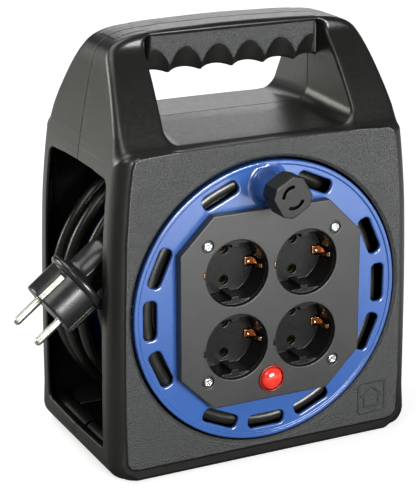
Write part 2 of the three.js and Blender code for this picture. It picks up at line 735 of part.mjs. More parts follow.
// ---------------------------------------------------------------- supply plug
// plug frame: +Z out of the face (pins), X across the pins, Y towards an earth contact
const PLUG_FACE = [-122.5, 36.0, 3.0]; // face centre, drum coordinates
const PLUG_AXIS = [-0.7924, 0.0, -0.61]; // direction the pins point
const PLUG_TURN = radians(57.6); // turns one earth contact up and forward
const PLUG_PIN_LENGTH = 19.0;
// [radius, z in the plug frame]
const PLUG_PROFILE = [
  [0, -52.4], [5.8, -52.4], [8.8, -51.4], [11.4, -48.8], [12.8, -45], [13.1, -38],
  [13.0, -29], [13.5, -27.0], [16.5, -25.5], [20.4, -24.2], [20.8, -22.6], [20.4, -21.2],
  [18.3, -20.4], [18.2, -1.4], [17.2, 0], [0, 0],
];

function makePlugFrame() {
  const axis = new THREE.Vector3(...PLUG_AXIS).normalize();
  const across = new THREE.Vector3(-axis.z, 0, axis.x).applyAxisAngle(axis, PLUG_TURN);
  const earthward = new THREE.Vector3().crossVectors(axis, across);
  const [x, depth, height] = PLUG_FACE;
  return new THREE.Matrix4()
    .makeBasis(across, earthward, axis)
    .setPosition(x, worldY(depth), worldZ(height));
}
const plugFrame = makePlugFrame();

const inPlugFrame = (geometry) => toSolid(geometry.applyMatrix4(plugFrame));

function plugBox(size, centre) {
  return inPlugFrame(new THREE.BoxGeometry(...size).translate(...centre));
}

function plugBore(radius, length, sides, x, z) {
  const geometry = new THREE.CylinderGeometry(radius, radius, length, sides);
  return inPlugFrame(geometry.rotateX(Math.PI / 2).translate(x, 0, z));
}

function plugLathe(profile, sides, x = 0) {
  const points = profile.map(([radius, z]) => new THREE.Vector2(radius, z));
  const geometry = new THREE.LatheGeometry(points, sides);
  return inPlugFrame(geometry.rotateX(Math.PI / 2).translate(x, 0, 0));
}

// guide grooves lie beyond the pins, earth grooves across them
function plugBody() {
  const sideCuts = [-1, 1].flatMap((side) => [
    plugBox([4, 5.6, 21], [side * 18.4, 0, -9.4]),
    plugBox([5.2, 3.2, 19.6], [0, side * 18.2, -9.1]),
    plugBore(2.6, 14, 10, side * HALF_PIN, -6),
  ]);
  return cut(plugLathe(PLUG_PROFILE, 24), ...sideCuts, plugBore(5.0, 14, 14, 0, -47));
}

function plugPin(side) {
  return plugLathe([
    [0, -12.6], [2.4, -12.6], [2.4, PLUG_PIN_LENGTH - 2.2],
    [1.6, PLUG_PIN_LENGTH - 0.5], [0, PLUG_PIN_LENGTH],
  ], 10, side * HALF_PIN);
}

const plugEarth = (side) => plugBox([4.4, 0.9, 17.6], [0, side * 17.3, -9.4]);

// ribbed sleeve
function strainRelief() {
  const profile = [[0, -62.4], [4.7, -62.4]];
  for (let i = 0; i < 4; i++) {
    const z = -62.0 + i * 2.4;
    profile.push([4.9, z], [5.7, z + 0.4], [5.7, z + 1.6], [4.8, z + 2.0]);
  }
  profile.push([4.6, -52.6], [4.6, -42], [0, -42]);
  return cut(plugLathe(profile, 14), plugBore(4.0, 12, 10, 0, -60.5));
}

// short run of cable behind the plug
function cableTail() {
  const extrudePath = new THREE.CatmullRomCurve3([55.2, 62, 70, 80].map((distance) => (
    new THREE.Vector3(0, 0, -distance).applyMatrix4(plugFrame)
  )));
  const section = new THREE.Shape();
  section.absarc(0, 0, 3.7, 0, Math.PI * 2, false);
  return toSolid(new THREE.ExtrudeGeometry(section, {
    steps: 4,
    curveSegments: 6,
    bevelEnabled: false,
    extrudePath,
  }));
}

// ---------------------------------------------------------------- assembly
const group = new THREE.Group();
group.name = 'extension_cord_reel';

function place(name, solid, material) {
  const mesh = new THREE.Mesh(toGeometry(solid), MATERIALS[material]);
  mesh.name = name;
  group.add(mesh);
}

function placeScrews(name, places, makeScrew) {
  places.forEach((at, i) => place(`${name}_${i + 1}`, makeScrew(at), 'steel'));
}

const shells = splitCase(undividedCase());
place('front_shell', shells.front, 'case');
place('rear_shell', join(shells.rear, stubAxle()), 'case');
placeScrews('case_screw', BOSSES, caseScrew);

place('drum_front_flange', frontFlange(), 'blue');
place('drum_core', drumCore(), 'core');
place('drum_rear_flange', rearFlange(), 'blue');
placeScrews('rear_flange_screw', REAR_SCREWS, rearFlangeScrew);

place('socket_plate', socketPlate(), 'plate');
placeScrews('plate_screw', PLATE_SCREWS, plateScrew);
for (const [corner, at] of Object.entries(SOCKETS)) {
  place(`earth_contact_${corner}`, earthContact(at), 'copper');
}
place('line_busbar', busbar(1, 19.6), 'brass');
place('neutral_busbar', busbar(-1, 22.2), 'brass');
place('contact_cover', contactCover(), 'core');
place('thermal_cutout', thermalCutout(), 'core');
place('button_collar', buttonCollar(), 'darkRed');
place('reset_button', resetButton(), 'red');
place('hub_washer', hubWasher(), 'steel');
place('hub_screw', hubScrew(), 'steel');

place('knob_pin', knobPin(), 'steel');
place('crank_knob', crankKnob(), 'knob');
place('cable_coil', cableCoil(), 'rubber');

place('plug_body', plugBody(), 'plug');
place('plug_pin_a', plugPin(-1), 'steel');
place('plug_pin_b', plugPin(1), 'steel');
place('plug_earth_a', plugEarth(-1), 'copper');
place('plug_earth_b', plugEarth(1), 'copper');
place('plug_strain_relief', strainRelief(), 'rubber');
place('plug_cable_tail', cableTail(), 'rubber');

export default group;
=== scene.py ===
# Extension cord reel: a two-shell case with a grip bar on top, holding a blue-flanged drum of
# cable with four sockets, a crank knob and a plug parked on the left.
# Field coordinates, in millimetres: x right, y depth behind the front panel plane, z height
# above the drum axis. In Blender the reel stands on z = 0 with its front towards -y, in metres.
# Shapes are distance fields, negative inside, meshed on graded grids.
import math
from functools import reduce
from itertools import product

import bmesh
import bpy
import numpy as np
from mathutils import Matrix, Vector


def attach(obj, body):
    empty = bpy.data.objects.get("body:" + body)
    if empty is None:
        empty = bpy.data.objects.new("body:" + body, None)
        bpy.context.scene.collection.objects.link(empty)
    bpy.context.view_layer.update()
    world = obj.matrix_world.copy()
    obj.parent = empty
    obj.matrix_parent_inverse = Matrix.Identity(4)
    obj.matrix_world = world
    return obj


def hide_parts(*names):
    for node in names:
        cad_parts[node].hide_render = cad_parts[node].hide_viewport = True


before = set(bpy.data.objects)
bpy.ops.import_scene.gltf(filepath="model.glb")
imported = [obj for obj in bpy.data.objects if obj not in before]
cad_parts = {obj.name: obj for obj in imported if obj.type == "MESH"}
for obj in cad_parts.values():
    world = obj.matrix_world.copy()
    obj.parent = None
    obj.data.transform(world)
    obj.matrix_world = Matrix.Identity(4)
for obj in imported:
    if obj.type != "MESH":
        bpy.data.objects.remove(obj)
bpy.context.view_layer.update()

COARSE = 1.0   # grid spacing factor of the case and the socket plate
f4 = np.float32

# Dimensions shared between pieces
HALF_DEPTH = 59.3       # front panel plane to the middle of the case
FRONT_Y = -HALF_DEPTH
AXIS_Z = 98.5           # drum axis above the floor
KNOB_Z = 71.0           # crank knob axis above the drum axis
BUTTON_Z = -46.0
SOCKET_PITCH = 22.65    # socket centres from the drum axis, in x and in z
SCREW_PITCH = 41.3      # plate screws from the drum axis, in x and in z
DIAGONAL = 0.7071       # scale of a 45 degree direction


# ------------------------------------------------------------------ distance field tools
def dist(u, v):
    return np.sqrt(u * u + v * v)


def slab(value, half, centre=0):
    return np.abs(value - centre) - half


def meet(*parts):
    return reduce(np.maximum, parts)


def join(*parts):
    return reduce(np.minimum, parts)


def cut(body, tool):
    return np.maximum(body, -tool)


def soft_meet(a, b, radius):
    """intersection with a rounded convex edge"""
    r = f4(radius)
    return np.minimum(-r, np.maximum(a, b)) + dist(np.maximum(a + r, 0), np.maximum(b + r, 0))


def soft_join(a, b, radius):
    """union with a rounded concave corner"""
    r = f4(radius)
    return np.maximum(r, np.minimum(a, b)) - dist(np.maximum(r - a, 0), np.maximum(r - b, 0))


def soft_cut(body, tool, radius):
    return soft_meet(body, -tool, radius)


def polygon(u, v, points):
    """signed distance to a closed outline"""
    u, v = np.broadcast_arrays(u, v)
    nearest = np.full(u.shape, 1e9, f4)
    outside = np.ones(u.shape, bool)
    for (ax, ay), (bx, by) in zip(points, points[1:] + points[:1]):
        ex, ey = bx - ax, by - ay
        wx, wy = u - ax, v - ay
        t = np.clip((wx * ex + wy * ey) / (ex * ex + ey * ey), 0, 1)
        nearest = np.minimum(nearest, (wx - ex * t) ** 2 + (wy - ey * t) ** 2)
        above, below, left = v >= ay, v < by, ex * wy > ey * wx
        outside ^= (above & below & left) | (~above & ~below & ~left)
    return np.where(outside, 1, -1).astype(f4) * np.sqrt(nearest)


def rounded_box(u, v, half_u, half_v, radius):
    qu = np.abs(u) - (half_u - radius)
    qv = np.abs(v) - (half_v - radius)
    corner = dist(np.maximum(qu, 0), np.maximum(qv, 0))
    return corner + np.minimum(np.maximum(qu, qv), 0) - radius


def turned(u, v, angle):
    """coordinates along and across a direction at the given angle in degrees"""
    c, s = math.cos(math.radians(angle)), math.sin(math.radians(angle))
    return u * c + v * s, -u * s + v * c


def lookup(value, table):
    """linear interpolation in a table of (position, value)"""
    return np.interp(value, *zip(*table))


def spline(points, steps):
    """Catmull-Rom through the points, ends kept"""
    p = np.array(points, float)
    q = np.vstack([2 * p[0] - p[1], p, 2 * p[-1] - p[-2]])
    out = []
    for a, b, c, d in zip(q, q[1:], q[2:], q[3:]):
        for t in np.linspace(0, 1, steps, endpoint=False):
            out.append(0.5 * (2 * b + (c - a) * t + (2 * a - 5 * b + 4 * c - d) * t * t
                              + (3 * b - a - 3 * c + d) * t ** 3))
    out.append(p[-1])
    return [tuple(v) for v in out]


def arc(cx, cy, radius, start, end, steps):
    angles = [math.radians(start + (end - start) * i / steps) for i in range(steps + 1)]
    return [(cx + radius * math.cos(a), cy + radius * math.sin(a)) for a in angles]


# ------------------------------------------------------------------ meshing
CORNERS = list(product((0, 1), repeat=3))


def trilinear(grid, at):
    cell = np.clip(np.floor(at).astype(int), 0, np.array(grid.shape) - 2)
    part = np.clip(at - cell, 0, 1)
    total = 0
    for corner in CORNERS:
        wx, wy, wz = (part[:, n] if corner[n] else 1 - part[:, n] for n in range(3))
        i, j, k = (cell + np.array(corner)).T
        total = total + wx * wy * wz * grid[i, j, k]
    return total


def cell_points(grid, cells):
    """mean of the zero crossings on the twelve edges of each cell, in grid steps"""
    value = {}
    for corner in CORNERS:
        i, j, k = (cells + np.array(corner)).T
        value[corner] = grid[i, j, k].astype(float)
    total = np.zeros((len(cells), 3))
    count = np.zeros(len(cells))
    for along in range(3):
        for near in CORNERS:
            if near[along]:
                continue
            far = tuple(1 if n == along else near[n] for n in range(3))
            a, b = value[near], value[far]
            crossed = (a < 0) != (b < 0)
            point = np.tile(np.array(near, float), (crossed.sum(), 1))
            point[:, along] = a[crossed] / (a[crossed] - b[crossed])
            total[crossed] += point
            count[crossed] += 1
    return cells + total / count[:, None]


def draw_to_level(grid, axes, cells, points):
    """moves each point down the slope onto the zero level, staying near its cell"""
    middle = cells + 0.5
    step = np.stack([np.diff(axes[n])[cells[:, n]] for n in range(3)], 1)
    probe = 0.35
    for _ in range(3):
        level = trilinear(grid, points)
        slope = np.zeros_like(points)
        for n in range(3):
            s = np.zeros(3)
            s[n] = probe
            rise = trilinear(grid, points + s) - trilinear(grid, points - s)
            slope[:, n] = rise / (2 * probe)
        slope = slope / step
        steepness = np.maximum((slope * slope).sum(1), 0.05)
        points = points - (level / steepness)[:, None] * slope / step * 0.9
        points = np.clip(points, middle - 0.6, middle + 0.6)
    return points


def surface_nets(grid, axes):
    """closed quad mesh on the zero level of a field sampled over graded axes"""
    for n in range(3):
        for end in (0, -1):
            face = [slice(None)] * 3
            face[n] = end
            grid[tuple(face)] = np.maximum(grid[tuple(face)], 0.3)
    inside = grid < 0
    nx, ny, nz = grid.shape
    count = np.zeros((nx - 1, ny - 1, nz - 1), np.uint8)
    for i, j, k in CORNERS:
        count += inside[i:nx - 1 + i, j:ny - 1 + j, k:nz - 1 + k]
    active = (count > 0) & (count < 8)
    cells = np.argwhere(active)
    number = np.full(active.shape, -1, np.int32)
    number[active] = np.arange(len(cells), dtype=np.int32)
    points = draw_to_level(grid, axes, cells, cell_points(grid, cells))

    def vertex_at(cell):
        return number[cell[:, 0], cell[:, 1], cell[:, 2]]

    quads = []
    unit = np.eye(3, dtype=int)
    for along, (p, q) in ((0, (1, 2)), (1, (2, 0)), (2, (0, 1))):
        low = [slice(None)] * 3
        high = [slice(None)] * 3
        low[along] = slice(0, -1)
        high[along] = slice(1, None)
        edge = np.argwhere(inside[tuple(low)] != inside[tuple(high)])
        for n in (p, q):
            edge = edge[(edge[:, n] >= 1) & (edge[:, n] <= grid.shape[n] - 2)]
        quad = np.stack([vertex_at(edge - unit[p] - unit[q]), vertex_at(edge - unit[q]),
                         vertex_at(edge), vertex_at(edge - unit[p])], 1)
        leaving = inside[edge[:, 0], edge[:, 1], edge[:, 2]]
        quad[~leaving] = quad[~leaving][:, ::-1]
        quads.append(quad)
    placed = [np.interp(points[:, n], np.arange(len(axes[n])), axes[n]) for n in range(3)]
    return np.stack(placed, 1), np.vstack(quads)


def graded(start, *runs, scale=1):
    """grid line positions from start through runs of (end, spacing)"""
    out = [start]
    for end, spacing in runs:
        n = max(1, int(round((end - out[-1]) / (spacing * scale))))
        out += list(np.linspace(out[-1], end, n + 1)[1:])
    return np.array(out)


def box_axes(low, high, spacing):
    return [graded(a, (b, spacing)) for a, b in zip(low, high)]


def field_mesh(axes, field):
    x, y, z = np.meshgrid(*(a.astype(f4) for a in axes), indexing="ij", sparse=True)
    shape = tuple(len(a) for a in axes)
    return surface_nets(np.array(np.broadcast_to(field(x, y, z), shape), f4), axes)


def to_world(points):
    world = np.array(points, float)
    world[:, 1] += FRONT_Y
    world[:, 2] += AXIS_Z
    return world / 1000.0


def shade_smooth(mesh):
    mesh.polygons.foreach_set("use_smooth", np.full(len(mesh.polygons), True))


def linked(name, mesh):
    obj = bpy.data.objects.new(name, mesh)
    bpy.context.scene.collection.objects.link(obj)
    return obj


def quad_object(name, points, quads):
    mesh = bpy.data.meshes.new(name)
    mesh.vertices.add(len(points))
    mesh.vertices.foreach_set("co", to_world(points).astype(f4).ravel())
    mesh.loops.add(quads.size)
    mesh.loops.foreach_set("vertex_index", quads.astype(np.int32).ravel())
    mesh.polygons.add(len(quads))
    mesh.polygons.foreach_set("loop_start", (np.arange(len(quads)) * 4).astype(np.int32))
    mesh.polygons.foreach_set("loop_total", np.full(len(quads), 4, np.int32))
    mesh.update(calc_edges=True)
    mesh.validate()
    shade_smooth(mesh)
    return linked(name, mesh)


def thin_out(obj, target):
    """collapses short edges until about the target number of triangles is left"""
    triangles = 2 * len(obj.data.polygons)
    if triangles <= target:
        return obj
    decimate = obj.modifiers.new("decimate", "DECIMATE")
    decimate.decimate_type = "COLLAPSE"
    decimate.ratio = target / triangles
    bpy.context.view_layer.update()
    graph = bpy.context.evaluated_depsgraph_get()
    thinned = bpy.data.meshes.new_from_object(obj.evaluated_get(graph), depsgraph=graph)
    full = obj.data
    obj.modifiers.clear()
    obj.data = thinned
    bpy.data.meshes.remove(full)
    thinned.name = obj.name
    shade_smooth(thinned)
    return obj


def field_normals(obj, field, step=0.35):
    """shading normals follow the slope of the shape's own field, so flat runs stay flat"""
    n = len(obj.data.vertices)
    co = np.empty(n * 3, f4)
    obj.data.vertices.foreach_get("co", co)
    points = co.reshape(-1, 3) * f4(1000.0)
    points[:, 1] -= FRONT_Y
    points[:, 2] -= AXIS_Z
    normals = np.zeros((n, 3), f4)
    for k in range(3):
        shift = np.zeros(3, f4)
        shift[k] = step
        normals[:, k] = field(*(points + shift).T) - field(*(points - shift).T)
    length = np.linalg.norm(normals, axis=1)
    good = length > 0.8 * step
    normals[good] /= length[good][:, None]
    normals[~good] = 0   # a zero vector keeps the mesh's own normal
    obj.data.normals_split_custom_set_from_vertices(normals.tolist())


def field_object(name, axes, field, target=None, masks=None):
    """object from a field; masks are functions of position stored as point attributes"""
    points, quads = field_mesh(axes, field)
    obj = quad_object(name, points, quads)
    for key, mask in (masks or {}).items():
        attribute = obj.data.attributes.new(key, "FLOAT", "POINT")
        attribute.data.foreach_set("value", mask(*points.T).astype(f4))
    if target:
        thin_out(obj, target)
    field_normals(obj, field)
    return obj


def skin_object(name, points, faces, sharp_angle):
    mesh = bpy.data.meshes.new(name)
    mesh.from_pydata(to_world(points).tolist(), [], faces)
    mesh.update()
    bm = bmesh.new()
    bm.from_mesh(mesh)
    bmesh.ops.recalc_face_normals(bm, faces=bm.faces)
    bm.to_mesh(mesh)
    bm.free()
    shade_smooth(mesh)
    mesh.set_sharp_from_angle(angle=math.radians(sharp_angle))
    return linked(name, mesh)


def lathe_object(name, profile, sides, origin, sharp_angle, axis=(0, -1, 0), up=(0, 0, 1)):
    """profile of (radius, distance along the axis) turned about the axis through origin"""
    axis = Vector(axis).normalized()
    up = Vector(up)
    up = (up - axis * up.dot(axis)).normalized()
    across = axis.cross(up)
    points, faces, rows = [], [], []
    for radius, along in profile:
        centre = Vector(origin) + axis * along
        if radius < 1e-6:
            rows.append([len(points)])
            points.append(tuple(centre))
            continue
        rows.append(list(range(len(points), len(points) + sides)))
        for i in range(sides):
            t = 2 * math.pi * i / sides
            points.append(tuple(centre + (up * math.cos(t) + across * math.sin(t)) * radius))
    for low, high in zip(rows[:-1], rows[1:]):
        for i in range(sides):
            j = (i + 1) % sides
            if len(low) == 1:
                faces.append((low[0], high[i], high[j]))
            elif len(high) == 1:
                faces.append((low[i], high[0], low[j]))
            else:
                faces.append((low[i], high[i], high[j], low[j]))
    return skin_object(name, points, faces, sharp_angle)


def tube(name, path, radius, sides):
    """round cable along a list of points, closed by shallow cones"""
    path = np.array(path, float)
    along = np.gradient(path, axis=0)
    along /= np.linalg.norm(along, axis=1)[:, None]
    depth = np.array([0.0, 1.0, 0.0])
    normal = depth - (along @ depth)[:, None] * along
    normal /= np.linalg.norm(normal, axis=1)[:, None]
    across = np.cross(along, normal)
    angle = 2 * np.pi * np.arange(sides) / sides
    ring = (np.cos(angle)[None, :, None] * normal[:, None, :]
            + np.sin(angle)[None, :, None] * across[:, None, :])
    skin = (path[:, None, :] + radius * ring).reshape(-1, 3)
    i = np.arange(len(path) - 1)[:, None] * sides
    j = np.arange(sides)[None, :]
    k = (j + 1) % sides
    faces = np.stack([i + j, i + k, i + sides + k, i + sides + j], -1).reshape(-1, 4).tolist()
    last = len(skin) - sides
    for a in range(sides):
        b = (a + 1) % sides
        faces.append((len(skin), b, a))
        faces.append((len(skin) + 1, last + a, last + b))
    tips = [path[0] - along[0] * radius * 0.15, path[-1] + along[-1] * radius * 0.15]
    return skin_object(name, np.vstack([skin, tips]), faces, sharp_angle=60)


# ------------------------------------------------------------------ materials
class Shader:
    """a material with one Principled surface; noise scales are per metre"""

    def __init__(self, name):
        self.material = bpy.data.materials.new(name)
        self.material.use_nodes = True
        self.tree = self.material.node_tree
        coordinates = self.node("TexCoord").outputs["Object"]
        self.place = self.node("Mapping", {"Vector": coordinates}).outputs["Vector"]

    def feed(self, node, inputs):
        """links sockets and sets plain values"""
        for key, value in inputs.items():
            socket = node.inputs[key]
            if isinstance(value, bpy.types.NodeSocket):
                self.tree.links.new(value, socket)
            else:
                socket.default_value = (*value, 1) if socket.type == "RGBA" else value

    def node(self, kind, inputs=None, **settings):
        node = self.tree.nodes.new("ShaderNode" + kind)
        for key, value in settings.items():
            setattr(node, key, value)
        self.feed(node, inputs or {})
        return node

    def attribute(self, name):
        return self.node("Attribute", attribute_name=name).outputs["Fac"]

    def noise(self, scale, detail=2.0, roughness=0.5):
        return self.node("TexNoise", {"Scale": scale, "Detail": detail, "Roughness": roughness,
                                      "Vector": self.place}).outputs["Fac"]

    def ramp(self, source, low=0, high=1, source_low=0.3, source_high=0.7):
        return self.node("MapRange", {"From Min": source_low, "From Max": source_high,
                                      "To Min": low, "To Max": high,
                                      "Value": source}).outputs["Result"]

    def mix(self, factor, a, b, kind="RGBA"):
        inputs = {"A": a, "B": b, "Factor": factor}
        return self.node("Mix", inputs, data_type=kind).outputs["Result"]

    def math(self, operation, a, b):
        return self.node("Math", {0: a, 1: b}, operation=operation).outputs[0]

    def bump(self, height, strength, distance, below=None):
        inputs = {"Strength": strength, "Distance": distance, "Height": height}
        if below is not None:
            inputs["Normal"] = below
        return self.node("Bump", inputs).outputs["Normal"]

    def finish(self, inputs):
        self.feed(self.tree.nodes["Principled BSDF"], inputs)
        return self.material


def plastic(name, colours, roughness, grain_size=0.0005, grain=0.12, specular=0.5, coat=0.0,
            blotch=0.02, coat_roughness=0.1, waves=0.0):
    """moulded plastic: slow colour and gloss variation, fine surface grain, faint waviness;
    grain_size and blotch are in metres"""
    s = Shader(name)
    slow = s.noise(scale=1.0 / blotch, detail=3.0, roughness=0.55)
    fine = s.noise(scale=1.0 / grain_size, roughness=0.6)
    colour = s.mix(s.ramp(slow), *colours)
    medium = s.noise(scale=1.0 / (grain_size * 6))
    gloss = s.ramp(medium, *roughness)
    normal = s.bump(fine, strength=grain, distance=grain_size * 0.5)
    if waves:
        normal = s.bump(slow, strength=waves, distance=0.0006, below=normal)
    return s.finish({"Base Color": colour, "Roughness": gloss, "Normal": normal,
                     "Specular IOR Level": specular, "Coat Weight": coat,
                     "Coat Roughness": coat_roughness})


def case_plastic():
    """coarse spark texture where 'grain' is 1, satin elsewhere; on 'inner', the inside of the
    shells, the colour is painted darker as shade and the finish is duller
    """
    s = Shader("case_plastic")
    grain = s.attribute("grain")
    slow = s.noise(scale=40, detail=3.0, roughness=0.55)
    spark = s.noise(scale=1150, detail=2.5, roughness=0.62)
    medium = s.noise(scale=420, detail=1.5)
    fine = s.noise(scale=2600, detail=1.0)
    satin_colour = s.mix(s.ramp(slow), a=(0.0058, 0.0060, 0.0050), b=(0.0074, 0.0076, 0.0064))
    spark_colour = s.mix(s.ramp(spark, source_low=0.32, source_high=0.68),
                         a=(0.012, 0.0127, 0.0127), b=(0.037, 0.0388, 0.0388))
    colour = s.mix(grain, satin_colour, spark_colour)
    inner = s.attribute("inner")
    # painted shade: on 'inner', the inside of the shells, the colour is darkened towards near black
    colour = s.mix(s.math("MULTIPLY", inner, 0.7), a=colour, b=(0.0022, 0.0024, 0.0027))
    satin_gloss = s.ramp(medium, low=0.30, high=0.37)
    spark_gloss = s.ramp(spark, low=0.44, high=0.60)
    gloss = s.mix(grain, satin_gloss, spark_gloss, kind="FLOAT")
    normal = s.bump(fine, strength=0.10, distance=0.00012)
    spark_strength = s.math("MULTIPLY", grain, 1.0)
    normal = s.bump(spark, strength=spark_strength, distance=0.0008, below=normal)
    specular = s.math("SUBTRACT", 0.62, s.math("MULTIPLY", inner, 0.5))
    return s.finish({"Base Color": colour, "Roughness": gloss, "Normal": normal,
                     "Specular IOR Level": specular})


def plate_plastic():
    """satin plate face; socket wells where 'gloss' is 1 are glossier, with their colour painted
    darker as shade
    """
    s = Shader("plate_plastic_two")
    well_gloss_and_shade = s.attribute("gloss")
    slow = s.noise(scale=60, detail=3.0, roughness=0.55)
    fine = s.noise(scale=1900, roughness=0.6)
    medium = s.noise(scale=500, roughness=0.6)
    face_colour = s.mix(s.ramp(slow), a=(0.022, 0.0228, 0.0218), b=(0.027, 0.028, 0.0267))
    # painted shade: the socket wells are coloured darker than the plate face
    well_shade_colour = s.mix(s.ramp(slow), a=(0.008, 0.008, 0.008), b=(0.011, 0.011, 0.011))
    colour = s.mix(well_gloss_and_shade, face_colour, well_shade_colour)
    face_gloss = s.ramp(medium, low=0.36, high=0.46)
    well_gloss = s.ramp(medium, low=0.25, high=0.31)
    gloss = s.mix(well_gloss_and_shade, face_gloss, well_gloss, kind="FLOAT")
    grain = s.math("SUBTRACT", 0.20, s.math("MULTIPLY", well_gloss_and_shade, 0.16))
    normal = s.bump(fine, strength=grain, distance=0.0002)
    specular = s.math("SUBTRACT", 0.6, s.math("MULTIPLY", well_gloss_and_shade, 0.32))
    return s.finish({"Base Color": colour, "Roughness": gloss, "Normal": normal,
                     "Specular IOR Level": specular})


def metal(name, colour, roughness, scratch=0.08):
    """bare metal, in places dulled to 72 % of its colour"""
    s = Shader(name)
    fine = s.noise(scale=900, roughness=0.6)
    slow = s.noise(scale=160, detail=3.0, roughness=0.6)
    dull = tuple(c * 0.72 for c in colour)
    tint = s.mix(s.ramp(slow, source_low=0.35, source_high=0.65), colour, dull)
    return s.finish({"Base Color": tint, "Roughness": s.ramp(slow, *roughness),
                     "Normal": s.bump(fine, strength=scratch, distance=0.0001),
                     "Metallic": 1.0})


def red_button():
    """coated translucent red"""
    s = Shader("red_button")
    slow = s.noise(scale=160)
    colour = s.mix(s.ramp(slow), a=(0.62, 0.030, 0.018), b=(0.72, 0.045, 0.028))
    return s.finish({
        "Base Color": colour, "Roughness": 0.16, "Coat Weight": 0.8, "Coat Roughness": 0.06,
        "Subsurface Weight": 0.25, "Subsurface Radius": (0.004, 0.0008, 0.0005),
        "Subsurface Scale": 1.0,
        "Normal": s.bump(s.noise(scale=1200), strength=0.03, distance=0.0001)})


MATERIALS = {
    "case": case_plastic(),
    "blue": plastic("blue_gloss", colours=[(0.030, 0.088, 0.29), (0.035, 0.100, 0.325)],
                    roughness=(0.14, 0.20), grain_size=0.0007, grain=0.03, specular=0.85,
                    coat=0.75, blotch=0.03, waves=0.05),
    "core": plastic("inner_plastic", colours=[(0.006, 0.0065, 0.008), (0.009, 0.0095, 0.011)],
                    roughness=(0.38, 0.5), grain_size=0.0006),
    "knob": plastic("knob_plastic",
                    colours=[(0.0058, 0.0062, 0.0056), (0.0078, 0.0083, 0.0075)],
                    roughness=(0.40, 0.48), grain=0.10, specular=0.4),
    "rubber": plastic("cable_sheath", colours=[(0.0095, 0.0095, 0.0080), (0.013, 0.013, 0.0115)],
                      roughness=(0.26, 0.33), grain_size=0.0009, grain=0.02, specular=0.55,
                      blotch=0.012),
    "plug": plastic("plug_plastic", colours=[(0.0085, 0.0092, 0.0090), (0.012, 0.013, 0.0125)],
                    roughness=(0.22, 0.28), grain_size=0.0006, grain=0.025, specular=0.6,
                    blotch=0.012),
    "steel": metal("bright_plate", colour=(0.86, 0.84, 0.76), roughness=(0.26, 0.34),
                   scratch=0.015),
    "zinc": metal("zinc_screw", colour=(0.80, 0.83, 0.82), roughness=(0.22, 0.34)),
    "copper": metal("copper_strip", colour=(0.86, 0.42, 0.20), roughness=(0.14, 0.26)),
    # painted shade: the busbars' metal, seen only down the pin holes, is coloured near black
    "brass": metal("shade_darkened_brass", colour=(0.10, 0.075, 0.04), roughness=(0.4, 0.5)),
    "red": red_button(),
    "dark red": plastic("collar_red", colours=[(0.16, 0.008, 0.006), (0.20, 0.012, 0.008)],
                        roughness=(0.2, 0.3), grain=0.05),
    "plate": plate_plastic(),
}


def dress(obj, material, body, slot, *replaced):
    """gives a piece its material and moving body, and hides the CAD nodes it stands for; slot is
    not used
    """
    obj.data.materials.clear()
    obj.data.materials.append(MATERIALS[material])
    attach(obj, body)
    if replaced:
        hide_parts(*replaced)


# ------------------------------------------------------------------ case
# half outline from the front: (distance from the middle, z)
CASE_FRONT = (
    [(-60, -140), (88.5, -140)] + arc(86.7, -85.5, 13.0, -75, 0, 20)
    + spline([(99.6, -60), (99.4, -40), (98.8, 0), (97.9, 28), (97.0, 48), (95.6, 65),
              (93.6, 83), (91.8, 95), (90.0, 105), (88.2, 115), (86.3, 125), (84.3, 135),
              (82.6, 142), (81.2, 145.8), (79.2, 148.9), (76.4, 151.2), (72.8, 153.1),
              (68.0, 154.7), (62.5, 155.7), (55.0, 156.4), (42.0, 157.1), (15.0, 157.8),
              (0.0, 157.9)], 12)
    + [(-60, 157.9)])
# half outline from the side: (distance from mid-depth, z)
CASE_SIDE = (
    [(-60, -140), (54.9, -140)] + arc(54.4, -94.3, 4.4, -75, 0, 14)
    + spline([(58.7, -60), (58.8, 0), (58.8, 60), (58.8, 86), (58.6, 92), (57.9, 95),
              (56.3, 97.2), (54.0, 98.9), (52.2, 101.4), (49.4, 106), (43.9, 115),
              (37.3, 125), (30.6, 134.4), (23.4, 143), (20.4, 146.6), (18.9, 149.4),
              (18.3, 152.5), (18.0, 155.5), (17.9, 158.8)], 12)
    + [(17.8, 200), (-60, 200)])
# edge rounding where the two outlines meet: (z, radius)
EDGE_ROUNDING = [(-98.5, 7.0), (-72, 11.0), (90, 11.0), (98, 8.5), (106, 5.6), (115, 4.6),
                 (125, 4.2), (134, 4.0), (143, 3.8), (148, 3.6), (152, 3.4), (160, 3.2)]
# raised panel on the front and rear faces, right half: (x, z)
PANEL_RIGHT = [(84.0, -90.6), (88.4, -89.6), (91.0, -86.0), (91.6, -60), (91.3, -30), (90.8, 0),
               (89.3, 48), (86.7, 78), (84.8, 90.4), (83.2, 94.6), (80.2, 96.2), (60, 97.4),
               (30, 98.2)]
PANEL = PANEL_RIGHT + [(0, 98.5)] + [(-x, z) for x, z in PANEL_RIGHT[::-1]]
PANEL_HEIGHT = 0.85
# opening in the left wall: (y, z)
LEFT_OPENING = (
    [(103.0, 60), (102.6, 74.4)] + arc(97.4, 76.4, 5.0, 0, 80, 4)
    + [(80, 82.4), (59.3, 82.8), (38, 82.4)] + arc(21.2, 76.4, 5.0, 100, 180, 4)
    + [(15.7, 60), (16.1, -72)] + arc(19.6, -76.2, 3.4, 190, 262, 3)
    + [(59.3, -80.8)] + arc(98.9, -76.2, 3.4, -82, -10, 3) + [(102.8, -60)])
# the inside of the shells, where the case colour is painted darker as shade: (z, half width)
SHADED_INSIDE_WIDTH = [(-98.5, 80), (-93, 90), (-84, 96), (-60, 98.0), (28, 96.3), (65, 94.0), (97, 90.0)]
# case screws: (x, z)
BOSSES = [(side * x, z) for x, z in ((88.2, -86.5), (81.5, 85.5), (72.0, 124.0))
          for side in (1, -1)]
